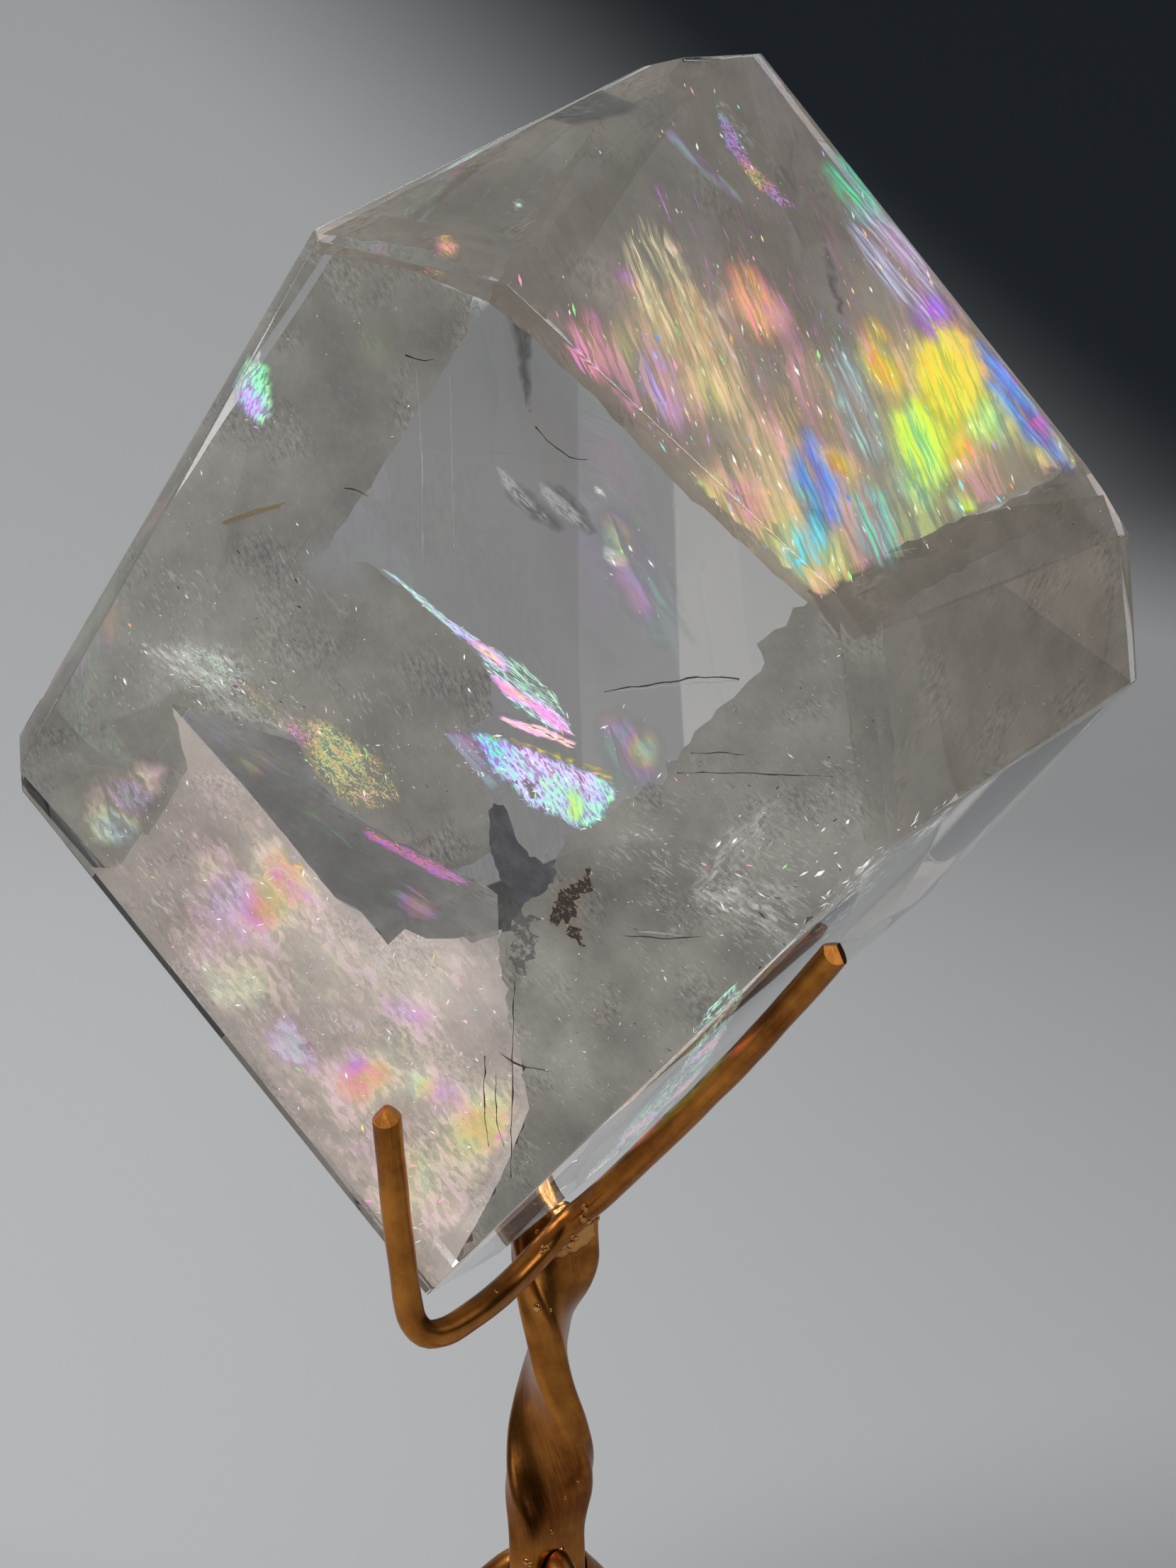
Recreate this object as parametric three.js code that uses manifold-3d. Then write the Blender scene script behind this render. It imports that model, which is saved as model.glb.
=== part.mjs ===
// Clear cleavage block of calcite with polished and natural faces, held by three prongs on a twisted bar
// that stands on three bent legs. Millimetres, +Z up, the viewer's side towards -Y.

import * as THREE from "three";
import { ConvexGeometry } from "three/addons/geometries/ConvexGeometry.js";
import { mergeVertices } from "three/addons/utils/BufferGeometryUtils.js";
import Module from "manifold-3d";

const wasm = await Module();
wasm.setup();

// ---- Driving dimensions ----

const SEAT_GAP = 0.3; // clearance where one piece rests on or is brazed to another

const CRYSTAL_CENTRE = new THREE.Vector3(4.1, -12.3, 121); // from the foot of the stem's axis
// Each flat face: bearing and tilt of its outward normal in degrees (bearing 0 is +X, 90 is +Y, and a
// positive tilt looks up), and its distance from the crystal's centre.
const FACETS = [
  { name: "front", bearing: -108.5, tilt: -12.5, reach: 25 },
  { name: "upper right", bearing: -53.5, tilt: 36.5, reach: 40 },
  { name: "upper left", bearing: -86.5, tilt: 54.5, reach: 49.25 },
  { name: "right upper", bearing: -50, tilt: 27.5, reach: 42 },
  { name: "right lower", bearing: -43.5, tilt: -2.5, reach: 43.25 },
  { name: "lower right", bearing: -23.5, tilt: -46, reach: 36.75 },
  { name: "left bevel", bearing: -151, tilt: 18.5, reach: 46.75 },
  { name: "left tip", bearing: -172, tilt: -2.5, reach: 57.25 },
  { name: "top", bearing: 144, tilt: 64.5, reach: 52.25 },
  { name: "right end", bearing: 50.5, tilt: 11, reach: 30.25 },
  { name: "upper right end", bearing: 14, tilt: 33, reach: 50 },
  { name: "back upper left", bearing: 151.5, tilt: 39, reach: 34 },
  { name: "back lower left", bearing: 150.5, tilt: -35, reach: 45 },
  { name: "back left", bearing: 91, tilt: 13.5, reach: 28.25 },
  { name: "back right", bearing: 76.5, tilt: 13, reach: 29 },
  { name: "back low right", bearing: 72.5, tilt: -32.5, reach: 36.25 },
];
const SAME_CORNER = 0.01; // corners nearer than this are one corner
const PARALLEL = 1e-6; // three faces whose normals span less than this meet in no single corner

const PRONG_RADIUS = 1.5;
const LEG_RADIUS = 2;
const ROD_SIDES = 16;
const WELD = 1e-4; // vertices nearer than this are one vertex

// Centre line of the front rod: left prong, tight bend under the crystal's lowest tip, cradle, right prong.
const CLAW_PATH = [
  [-15.85, -24.65, 78.2],
  [-15.4, -23.3, 71.9],
  [-14.9, -22, 65.4],
  [-14.4, -21.2, 61.1],
  [-14, -20.6, 57.8],
  [-13.5, -20.5, 55.8],
  [-12.4, -20.1, 54.5],
  [-10.7, -18.7, 54.2],
  [-7.3, -14.6, 55.2],
  [-3.3, -8.2, 57.2],
  [1.6, -3.8, 61.5],
  [6.2, -6.9, 66.3],
  [12.75, -12.6, 74],
  [19.35, -18.2, 82.05],
  [28.2, -26, 94],
  [28.75, -26.6, 94.9],
];
// The cutters' marks on its two ends: which end, which side the slant faces, how steep, how far back.
const CLAW_NIPS = [
  { end: "left", side: [0, -1, 0], lean: 34, back: 0.25 },
  { end: "left", side: [-1, 0, 0], lean: 35, back: -0.2 },
  { end: "left", side: [1, 0, 0], lean: 27, back: -0.1 },
  { end: "right", side: [0, -1, 0], lean: 28, back: 0.4 },
  { end: "right", side: [1, 0, 0], lean: 30, back: 0.4 },
  { end: "right", side: [-1, 1, 0], lean: 40, back: -0.1 },
];
// Centre line of the rear prong, from the back of the stem to the crystal's lower left back face.
const REAR_PATH = [
  [-0.4, 3.85, 57.2],
  [-0.5, 3.85, 60],
  [-1.4, 4.6, 63],
  [-4.4, 7.4, 67],
  [-10.5, 10.2, 73.5],
  [-17, 10.7, 80.8],
  [-22.5, 9.2, 87.4],
  [-24.6, 8.6, 89.7],
];
const REAR_NIP = { side: [0, 1, 0], lean: 42, back: 0.7 };
const NIP_BLOCK = 12; // size of the block that cuts a prong's end

const BAR_WIDTH = 9.2;
const BAR_THICKNESS = 4;
const BAR_EDGE_RADIUS = 1.1;
const BAR_BOTTOM = 18;
const BAR_TOP = 62.6;
const BAR_STEPS = 46;
// The hand-made twist, from the bottom up: height, turn of the wide side in degrees, sideways lean.
const TWIST = [
  { height: 18, turn: 229, lean: -0.3 },
  { height: 24, turn: 229, lean: -0.3 },
  { height: 27.6, turn: 228, lean: -0.3 },
  { height: 29.5, turn: 219, lean: -0.2 },
  { height: 31.5, turn: 203, lean: -0.1 },
  { height: 34, turn: 180, lean: 0 },
  { height: 37, turn: 154, lean: 0 },
  { height: 40, turn: 132, lean: -0.1 },
  { height: 44.4, turn: 104, lean: -0.2 },
  { height: 47.8, turn: 89, lean: -0.1 },
  { height: 50.4, turn: 79, lean: -0.1 },
  { height: 53.4, turn: 54, lean: 0.4 },
  { height: 56.4, turn: 28, lean: 0.6 },
  { height: 58.5, turn: 9, lean: 0.6 },
  { height: 60, turn: 1, lean: 0.6 },
  { height: 62.6, turn: 0, lean: 0.6 },
];

// Legs: side view of the centre line as distance from the axis and height, ending flat on the ground.
const LEG_PROFILE = [
  [-1, 24.5],
  [3, 23.5],
  [6, 21.2],
  [10, 17.7],
  [16, 12.7],
  [25, 7.15],
  [34, 3.25],
  [41, 1.8],
  [45, 1.6],
  [50, 1.6],
];
const FOOT_MIDDLE = 45; // distance from the axis to the middle of the foot's flat
const TOP_BLOCK = 20; // size of the block that cuts a leg's top to the bar's face
const FLOOR_BLOCK = 40; // size of the block that cuts a foot flat
// Each leg's bearing, and the bearing and distance of the bar's face that it is brazed to.
const LEGS = [
  { name: "left_leg", bearing: 172, face: 139, reach: BAR_THICKNESS / 2 },
  { name: "right_leg", bearing: 55, face: 49, reach: BAR_WIDTH / 2 },
  { name: "front_leg", bearing: -66, face: -41, reach: BAR_THICKNESS / 2 },
];

// ---- Helpers ----

function directionOf(bearing, tilt) {
  const turn = THREE.MathUtils.degToRad(bearing);
  const rise = THREE.MathUtils.degToRad(tilt);
  return new THREE.Vector3(
    Math.cos(turn) * Math.cos(rise),
    Math.sin(turn) * Math.cos(rise),
    Math.sin(rise),
  );
}

// Keeps only positions, with one vertex per corner.
function welded(geometry) {
  geometry.deleteAttribute("normal");
  geometry.deleteAttribute("uv");
  return mergeVertices(geometry, WELD);
}

function toSolid(geometry) {
  const shell = welded(geometry);
  const mesh = new wasm.Mesh({
    numProp: 3,
    vertProperties: new Float32Array(shell.attributes.position.array),
    triVerts: new Uint32Array(shell.index.array),
  });
  return new wasm.Manifold(mesh);
}

function toGeometry(solid) {
  const mesh = solid.getMesh();
  const geometry = new THREE.BufferGeometry();
  geometry.setAttribute("position", new THREE.BufferAttribute(mesh.vertProperties, 3));
  geometry.setIndex(new THREE.BufferAttribute(mesh.triVerts, 1));
  return geometry;
}

// A block that fills the space beyond a plane, over a square of the given size around the point.
function beyond(point, normal, size) {
  const block = new THREE.BoxGeometry(size, size, size);
  block.translate(0, 0, size / 2);
  const turn = new THREE.Quaternion().setFromUnitVectors(new THREE.Vector3(0, 0, 1), normal);
  block.applyQuaternion(turn);
  block.translate(point.x, point.y, point.z);
  return toSolid(block);
}

// A round rod along a smooth curve through the given points.
function rod(points, radius) {
  const path = new THREE.CatmullRomCurve3(points, false, "centripetal");
  const section = new THREE.Shape();
  section.absarc(0, 0, radius, 0, Math.PI * 2, false);
  const geometry = new THREE.ExtrudeGeometry(section, {
    steps: Math.round(path.getLength() / radius),
    curveSegments: ROD_SIDES / 2,
    bevelEnabled: false,
    extrudePath: path,
  });
  return toSolid(geometry);
}

// The slanted nip left by cutters at a rod's end, measured back from the end along the rod.
function nip(solid, end, inner, { side, lean, back }) {
  const along = end.clone().sub(inner).normalize();
  const across = new THREE.Vector3(...side).projectOnPlane(along).normalize();
  const slope = THREE.MathUtils.degToRad(lean);
  const normal = along.clone().multiplyScalar(Math.cos(slope)).addScaledVector(across, Math.sin(slope));
  const point = end.clone().addScaledVector(along, -back);
  return solid.subtract(beyond(point, normal, NIP_BLOCK));
}

const vectors = (rows) => rows.map(([x, y, z]) => new THREE.Vector3(x, y, z));

// ---- Crystal ----

// Corners of the block: where three faces meet inside all the others.
function crystalCorners() {
  const faces = FACETS.map(({ bearing, tilt, reach }) => {
    const normal = directionOf(bearing, tilt);
    return { normal, reach: reach + normal.dot(CRYSTAL_CENTRE) };
  });
  const corners = [];
  for (let i = 0; i < faces.length; i += 1) {
    for (let j = i + 1; j < faces.length; j += 1) {
      for (let k = j + 1; k < faces.length; k += 1) {
        const [a, b, c] = [faces[i], faces[j], faces[k]];
        const bc = b.normal.clone().cross(c.normal);
        const volume = a.normal.dot(bc);
        if (Math.abs(volume) < PARALLEL) continue;
        const corner = bc
          .multiplyScalar(a.reach)
          .addScaledVector(c.normal.clone().cross(a.normal), b.reach)
          .addScaledVector(a.normal.clone().cross(b.normal), c.reach)
          .divideScalar(volume);
        const inside = faces.every((face) => face.normal.dot(corner) < face.reach + SAME_CORNER / 2);
        const isNew = corners.every((other) => other.distanceTo(corner) > SAME_CORNER);
        if (inside && isNew) corners.push(corner);
      }
    }
  }
  return corners;
}

function makeCrystal() {
  return welded(new ConvexGeometry(crystalCorners()));
}

// ---- Stand ----

function makeClawRod() {
  const points = vectors(CLAW_PATH);
  const [rightInner, rightTip] = points.slice(-2);
  const [leftTip, leftInner] = points;
  let solid = rod(points, PRONG_RADIUS);
  for (const cut of CLAW_NIPS) {
    const isLeft = cut.end === "left";
    solid = nip(solid, isLeft ? leftTip : rightTip, isLeft ? leftInner : rightInner, cut);
  }
  return toGeometry(solid);
}

function makeRearProng() {
  const points = vectors(REAR_PATH);
  const [inner, tip] = points.slice(-2);
  return toGeometry(nip(rod(points, PRONG_RADIUS), tip, inner, REAR_NIP));
}

function roundedBar() {
  const x = BAR_WIDTH / 2;
  const y = BAR_THICKNESS / 2;
  const r = BAR_EDGE_RADIUS;
  const shape = new THREE.Shape();
  shape.moveTo(-x + r, -y);
  shape.lineTo(x - r, -y);
  shape.absarc(x - r, -y + r, r, -Math.PI / 2, 0, false);
  shape.lineTo(x, y - r);
  shape.absarc(x - r, y - r, r, 0, Math.PI / 2, false);
  shape.lineTo(-x + r, y);
  shape.absarc(-x + r, y - r, r, Math.PI / 2, Math.PI, false);
  shape.lineTo(-x, -y + r);
  shape.absarc(-x + r, -y + r, r, Math.PI, Math.PI * 1.5, false);
  return shape;
}

function makeStem() {
  const geometry = welded(
    new THREE.ExtrudeGeometry(roundedBar(), {
      depth: BAR_TOP - BAR_BOTTOM,
      steps: BAR_STEPS,
      curveSegments: 2,
      bevelEnabled: false,
    }),
  );
  const twist = new THREE.CubicInterpolant(
    TWIST.map(({ height }) => height),
    TWIST.flatMap(({ turn, lean }) => [THREE.MathUtils.degToRad(turn), lean]),
    2,
    new Float64Array(2),
  );
  const position = geometry.attributes.position;
  const up = new THREE.Vector3(0, 0, 1);
  const vertex = new THREE.Vector3();
  for (let i = 0; i < position.count; i += 1) {
    vertex.fromBufferAttribute(position, i);
    vertex.z += BAR_BOTTOM;
    const [turn, lean] = twist.evaluate(vertex.z);
    vertex.applyAxisAngle(up, turn);
    vertex.x += lean;
    position.setXYZ(i, vertex.x, vertex.y, vertex.z);
  }
  return geometry;
}

function makeLeg({ bearing, face, reach }) {
  const outward = directionOf(bearing, 0);
  const axis = new THREE.Vector3(TWIST[0].lean, 0, 0);
  const points = LEG_PROFILE.map(([out, height]) => axis.clone().addScaledVector(outward, out).setZ(height));
  const towardsBar = directionOf(face, 0).negate();
  const onBar = axis.clone().addScaledVector(towardsBar, -(reach + SEAT_GAP)).setZ(LEG_PROFILE[0][1]);
  const floorPoint = axis.clone().addScaledVector(outward, FOOT_MIDDLE);
  const solid = rod(points, LEG_RADIUS)
    .subtract(beyond(onBar, towardsBar, TOP_BLOCK))
    .subtract(beyond(floorPoint, new THREE.Vector3(0, 0, -1), FLOOR_BLOCK));
  return toGeometry(solid);
}

// ---- Assembly ----

const brass = () => new THREE.MeshStandardMaterial({ color: 0x9a6530, roughness: 0.34, metalness: 1 });
const calcite = new THREE.MeshStandardMaterial({
  color: 0xb9b6ae,
  roughness: 0.06,
  metalness: 0,
  transparent: true,
  opacity: 0.45,
});

function named(name, geometry, material) {
  geometry.computeVertexNormals();
  const mesh = new THREE.Mesh(geometry, material);
  mesh.name = name;
  return mesh;
}

const group = new THREE.Group();
group.add(
  named("calcite_crystal", makeCrystal(), calcite),
  named("front_claw_rod", makeClawRod(), brass()),
  named("rear_prong", makeRearProng(), brass()),
  named("twisted_stem", makeStem(), brass()),
  ...LEGS.map((leg) => named(leg.name, makeLeg(leg), brass())),
);

// The origin is the middle of the footprint, on the ground.
const bounds = new THREE.Box3().setFromObject(group);
const middle = bounds.getCenter(new THREE.Vector3());
group.position.set(-middle.x, -middle.y, 0);

export default group;
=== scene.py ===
"""Looks of a clear calcite block with rainbow fractures, on a stand of bent rods and a twisted bar."""

import logging
import math
from dataclasses import dataclass
from enum import Enum
from typing import NamedTuple

import bmesh
import bpy
import numpy as np
from bpy.types import Material, Mesh, Node, NodeSocket, NodeTree, Object
from mathutils import Matrix, Vector, noise
from mathutils.bvhtree import BVHTree
from mathutils.geometry import delaunay_2d_cdt


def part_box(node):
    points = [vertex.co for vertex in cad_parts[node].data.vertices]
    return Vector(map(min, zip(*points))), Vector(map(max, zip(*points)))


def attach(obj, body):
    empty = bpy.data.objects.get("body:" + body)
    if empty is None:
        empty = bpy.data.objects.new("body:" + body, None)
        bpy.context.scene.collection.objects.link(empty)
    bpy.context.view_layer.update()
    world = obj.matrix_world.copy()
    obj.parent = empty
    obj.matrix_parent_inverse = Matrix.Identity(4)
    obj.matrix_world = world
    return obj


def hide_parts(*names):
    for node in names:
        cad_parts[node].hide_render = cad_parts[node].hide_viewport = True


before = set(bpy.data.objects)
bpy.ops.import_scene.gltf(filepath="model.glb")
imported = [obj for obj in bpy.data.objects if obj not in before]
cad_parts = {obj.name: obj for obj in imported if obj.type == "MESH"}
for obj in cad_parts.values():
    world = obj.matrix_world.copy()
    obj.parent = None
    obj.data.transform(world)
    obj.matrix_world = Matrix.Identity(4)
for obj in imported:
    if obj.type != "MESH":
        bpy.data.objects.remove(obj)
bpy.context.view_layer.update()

LOG = logging.getLogger("calcite")
MM = 0.001
BODY = "root"
SAME_CORNER = 0.02  # millimetres within which packed corners are one
SAME_FACE = 0.6  # degrees within which packed triangles are one face
PATH_STEPS = 24  # places between two points of a smooth path, before they are spaced evenly
ROD_DENT = 0.05  # share by which a bent rod's radius strays
ROD_SKIN = 0.02  # millimetres that a rod stays inside its CAD solid
Pixel = tuple[float, float]
Colour = tuple[float, float, float]
Row = tuple[float, float, float]


# ---------------------------------------------------------------- where things are


@dataclass(frozen=True)
class Viewpoint:
    """The camera, placed from the block's middle, and the lines of sight through its picture.

    Lengths are millimetres. Pixels count from the picture's upper left corner.
    """

    block_middle: Vector
    eye_offset: Row = (1.3, -337.7, 24.3)
    elevation: float = 6.0
    lens: float = 77.0
    sensor: float = 36.0
    width: int = 1659
    height: int = 2212

    @property
    def eye(self) -> Vector:
        """The camera's place."""
        return self.block_middle + Vector(self.eye_offset)

    def axes(self) -> tuple[Vector, Vector, Vector]:
        """The camera's right, up and forward directions.

        Returns:
            Three unit vectors, in that order.
        """
        tilt = math.radians(self.elevation)
        right = Vector((1, 0, 0))
        forward = Vector((0, math.cos(tilt), -math.sin(tilt)))
        return right, right.cross(forward), forward

    def sight(self, pixel: Pixel) -> Vector:
        """The direction of the line of sight through a pixel.

        Args:
            pixel: column and row in the picture.

        Returns:
            A unit direction.
        """
        right, up, forward = self.axes()
        focal = self.lens / self.sensor * self.height
        across = (pixel[0] - self.width / 2) / focal
        rise = (self.height / 2 - pixel[1]) / focal
        return (forward + right * across + up * rise).normalized()

    def place_camera(self) -> None:
        """Makes the scene's camera."""
        camera = bpy.data.cameras.new("camera")
        camera.lens = self.lens
        camera.sensor_width = self.sensor
        camera.clip_start = 0.01
        camera.clip_end = 20
        right, up, forward = self.axes()
        holder = bpy.data.objects.new("camera", camera)
        turn = Matrix((right, up, -forward)).transposed().to_4x4()
        holder.matrix_world = Matrix.Translation(self.eye * MM) @ turn
        bpy.context.scene.collection.objects.link(holder)
        bpy.context.scene.camera = holder


@dataclass
class Face:
    """One flat face of the block: outward normal, and its distance from the origin in millimetres."""

    normal: Vector
    reach: float


class Block:
    """The clear block as a solid of flat faces, and how a line of sight runs inside it."""

    def __init__(self, node: str, ior: float) -> None:
        """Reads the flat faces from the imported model.

        Args:
            node: the block's node in the frame.
            ior: refractive index of the block.
        """
        self.ior = ior
        self.mesh = self._clean_mesh(node)
        self.faces = [
            Face(p.normal.copy(), p.normal.dot(self.mesh.vertices[p.vertices[0]].co) / MM)
            for p in self.mesh.polygons
        ]
        low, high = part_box(node)
        self.middle = (low + high) / 2 / MM

    @staticmethod
    def _clean_mesh(node: str) -> Mesh:
        """A copy of the node's mesh with one polygon for each flat face.

        Args:
            node: the CAD node's name.

        Returns:
            The copy, in metres.
        """
        shell = bmesh.new()
        shell.from_mesh(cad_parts[node].data)
        bmesh.ops.remove_doubles(shell, verts=shell.verts, dist=SAME_CORNER * MM)
        same_face = math.radians(SAME_FACE)
        bmesh.ops.dissolve_limit(shell, angle_limit=same_face, verts=shell.verts, edges=shell.edges)
        return mesh_from(shell, "calcite")

    def face_at(self, eye: Vector, sight: Vector) -> Face | None:
        """The face that a line of sight meets first.

        Args:
            eye: where the line starts.
            sight: its unit direction.

        Returns:
            The face, or None where the line misses the block.
        """
        entry, leave, found = -1e9, 1e9, None
        for face in self.faces:
            slope = face.normal.dot(sight)
            way = (face.reach - face.normal.dot(eye)) / slope if abs(slope) > 1e-9 else 1e9
            if slope < 0 and way > entry:
                entry, found = way, face
            elif slope > 0:
                leave = min(leave, way)
        return found if entry < leave else None

    def look_in(self, eye: Vector, sight: Vector, face: Face) -> tuple[Vector, Vector]:
        """Where a line of sight enters through a face, and how it goes on inside.

        Args:
            eye: where the line starts.
            sight: its unit direction.
            face: the face that it is taken through.

        Returns:
            The point of entry and the bent unit direction.
        """
        way = (face.reach - face.normal.dot(eye)) / face.normal.dot(sight)
        ratio = 1 / self.ior
        fall = -sight.dot(face.normal)
        bent = sight * ratio + face.normal * (ratio * fall - math.sqrt(1 - ratio**2 * (1 - fall**2)))
        return eye + sight * way, bent.normalized()


# ---------------------------------------------------------------- mesh helpers


def mesh_from(shell: bmesh.types.BMesh, name: str, smooth: bool = False) -> Mesh:
    """Makes a mesh of a bmesh, which is freed.

    Args:
        shell: the bmesh.
        name: the mesh's name.
        smooth: whether its faces are shaded smooth.

    Returns:
        The mesh.
    """
    mesh = bpy.data.meshes.new(name)
    shell.to_mesh(mesh)
    shell.free()
    if smooth:
        shade_smooth(mesh)
    return mesh


def shade_smooth(mesh: Mesh) -> None:
    """Shades every face of a mesh smooth."""
    mesh.polygons.foreach_set("use_smooth", [True] * len(mesh.polygons))


def new_object(name: str, mesh: Mesh, material: Material) -> Object:
    """Links a mesh into the scene as an object of one material.

    Args:
        name: the object's name.
        mesh: its mesh.
        material: its one material.

    Returns:
        The object.
    """
    mesh.materials.clear()
    mesh.materials.append(material)
    thing = bpy.data.objects.new(name, mesh)
    bpy.context.scene.collection.objects.link(thing)
    return thing


def applied(thing: Object) -> Object:
    """Turns an object's modifiers into plain mesh.

    Args:
        thing: an object with live modifiers.

    Returns:
        The same object with the evaluated mesh and no modifiers.
    """
    graph = bpy.context.evaluated_depsgraph_get()
    mesh = bpy.data.meshes.new_from_object(thing.evaluated_get(graph), depsgraph=graph)
    thing.modifiers.clear()
    thing.data = mesh
    return thing


def finished(thing: Object, slot: str, *nodes: str) -> Object:
    """Hands a piece to the frame.

    Args:
        thing: the finished piece.
        slot: the name of a material slot; not used.
        nodes: the CAD nodes that it stands for.

    Returns:
        The same piece.
    """
    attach(thing, BODY)
    if nodes:
        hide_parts(*nodes)
    LOG.info("%s: %d faces", thing.name, len(thing.data.polygons))
    return thing


def heading(bearing: float) -> Vector:
    """A level unit direction at a bearing in degrees, anticlockwise from +X."""
    return Vector((math.cos(math.radians(bearing)), math.sin(math.radians(bearing)), 0))


def smooth_table(at: np.ndarray, places: list[float], values: list[float]) -> np.ndarray:
    """Reads a table with a smooth curve through its rows.

    Args:
        at: where to read.
        places: the rows' places, rising.
        values: the rows' values.

    Returns:
        One value for each place asked.
    """
    x, y = np.array(places, float), np.array(values, float)
    slope = np.gradient(y, x)
    i = np.clip(np.searchsorted(x, at) - 1, 0, len(x) - 2)
    span = x[i + 1] - x[i]
    t = np.clip((at - x[i]) / span, 0, 1)
    return (
        y[i] * (1 + 2 * t) * (1 - t) ** 2
        + slope[i] * span * t * (1 - t) ** 2
        + y[i + 1] * t**2 * (3 - 2 * t)
        + slope[i + 1] * span * t**2 * (t - 1)
    )


def smooth_path(points: list[Row], step: float) -> np.ndarray:
    """A smooth line through points, in even steps.

    Args:
        points: the points to pass, in order.
        step: distance between the places returned.

    Returns:
        Places along the line, one to a row.
    """
    p = np.array(points, float)
    p = np.vstack([2 * p[0] - p[1], p, 2 * p[-1] - p[-2]])
    knots = np.concatenate([[0], np.cumsum(np.linalg.norm(np.diff(p, axis=0), axis=1) ** 0.5)])
    line = []
    for i in range(1, len(p) - 2):
        t0, t1, t2, t3 = knots[i - 1 : i + 3]
        t = np.linspace(t1, t2, PATH_STEPS, endpoint=False)[:, None]
        a1 = (t1 - t) / (t1 - t0) * p[i - 1] + (t - t0) / (t1 - t0) * p[i]
        a2 = (t2 - t) / (t2 - t1) * p[i] + (t - t1) / (t2 - t1) * p[i + 1]
        a3 = (t3 - t) / (t3 - t2) * p[i + 1] + (t - t2) / (t3 - t2) * p[i + 2]
        b1 = (t2 - t) / (t2 - t0) * a1 + (t - t0) / (t2 - t0) * a2
        b2 = (t3 - t) / (t3 - t1) * a2 + (t - t1) / (t3 - t1) * a3
        line.append((t2 - t) / (t2 - t1) * b1 + (t - t1) / (t2 - t1) * b2)
    dense = np.vstack([*line, p[-2][None]])
    run = np.concatenate([[0], np.cumsum(np.linalg.norm(np.diff(dense, axis=0), axis=1))])
    even = np.linspace(0, run[-1], max(4, round(run[-1] / step)))
    return np.stack([np.interp(even, run, dense[:, k]) for k in range(3)], axis=1)


def lofted(name: str, rings: np.ndarray) -> Mesh:
    """A closed smooth skin through rings of points, capped at both ends, with a map in millimetres.

    Args:
        name: the mesh's name.
        rings: ring, point and coordinate, in millimetres.

    Returns:
        The mesh, in metres. Its map runs along the rings and round them.
    """
    count, sides = rings.shape[:2]
    index = np.arange(count * sides).reshape(count, sides)
    turned = np.roll(index, -1, axis=1)
    quads = np.stack([index[:-1], turned[:-1], turned[1:], index[1:]], axis=-1).reshape(-1, 4)
    polygons = [*quads.tolist(), index[0, ::-1].tolist(), index[-1].tolist()]
    mesh = bpy.data.meshes.new(name)
    mesh.from_pydata((rings.reshape(-1, 3) * MM).tolist(), [], polygons)
    run = np.concatenate([[0], np.cumsum(np.linalg.norm(np.diff(rings.mean(1), axis=0), axis=1))])
    girth = np.linalg.norm(rings[0] - np.roll(rings[0], -1, axis=0), axis=1).sum()
    layer = mesh.uv_layers.new(name="metal_mm")
    corner = 0
    for polygon in mesh.polygons:
        around = [v % sides for v in polygon.vertices]
        wraps = len(around) == 4 and max(around) - min(around) > 1
        for v, a in zip(polygon.vertices, around):
            a = sides if wraps and a == 0 else a
            layer.data[corner].uv = (run[v // sides], girth * a / sides)
            corner += 1
    mesh.polygons.foreach_set("use_smooth", [len(p.vertices) == 4 for p in mesh.polygons])
    return mesh


def swept_rod(name: str, points: list[Row], radius: float, sides: int, step: float) -> Mesh:
    """A round rod along a smooth line, slightly uneven as bent by hand.

    Args:
        name: the mesh's name.
        points: centre line in millimetres.
        radius: the rod's radius.
        sides: points round it.
        step: distance between its rings.

    Returns:
        The rod's closed mesh.
    """
    line = smooth_path(points, step)
    along = np.gradient(line, axis=0)
    along /= np.linalg.norm(along, axis=1)[:, None]
    side = np.cross(along[0], (0, 0, 1) if abs(along[0][2]) < 0.9 else (1, 0, 0))
    turns = np.linspace(0, 2 * math.pi, sides, endpoint=False)
    rings = []
    for place, ahead in zip(line, along):
        side = side - ahead * side.dot(ahead)
        side /= np.linalg.norm(side)
        other = np.cross(ahead, side)
        ring = []
        for turn in turns:
            out = side * math.cos(turn) + other * math.sin(turn)
            dent = noise.noise(Vector(place * 0.22 + out * 0.9)) * ROD_DENT
            ring.append(place + out * (radius * (1 + dent) - ROD_SKIN))
        rings.append(ring)
    return lofted(name, np.array(rings))


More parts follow.
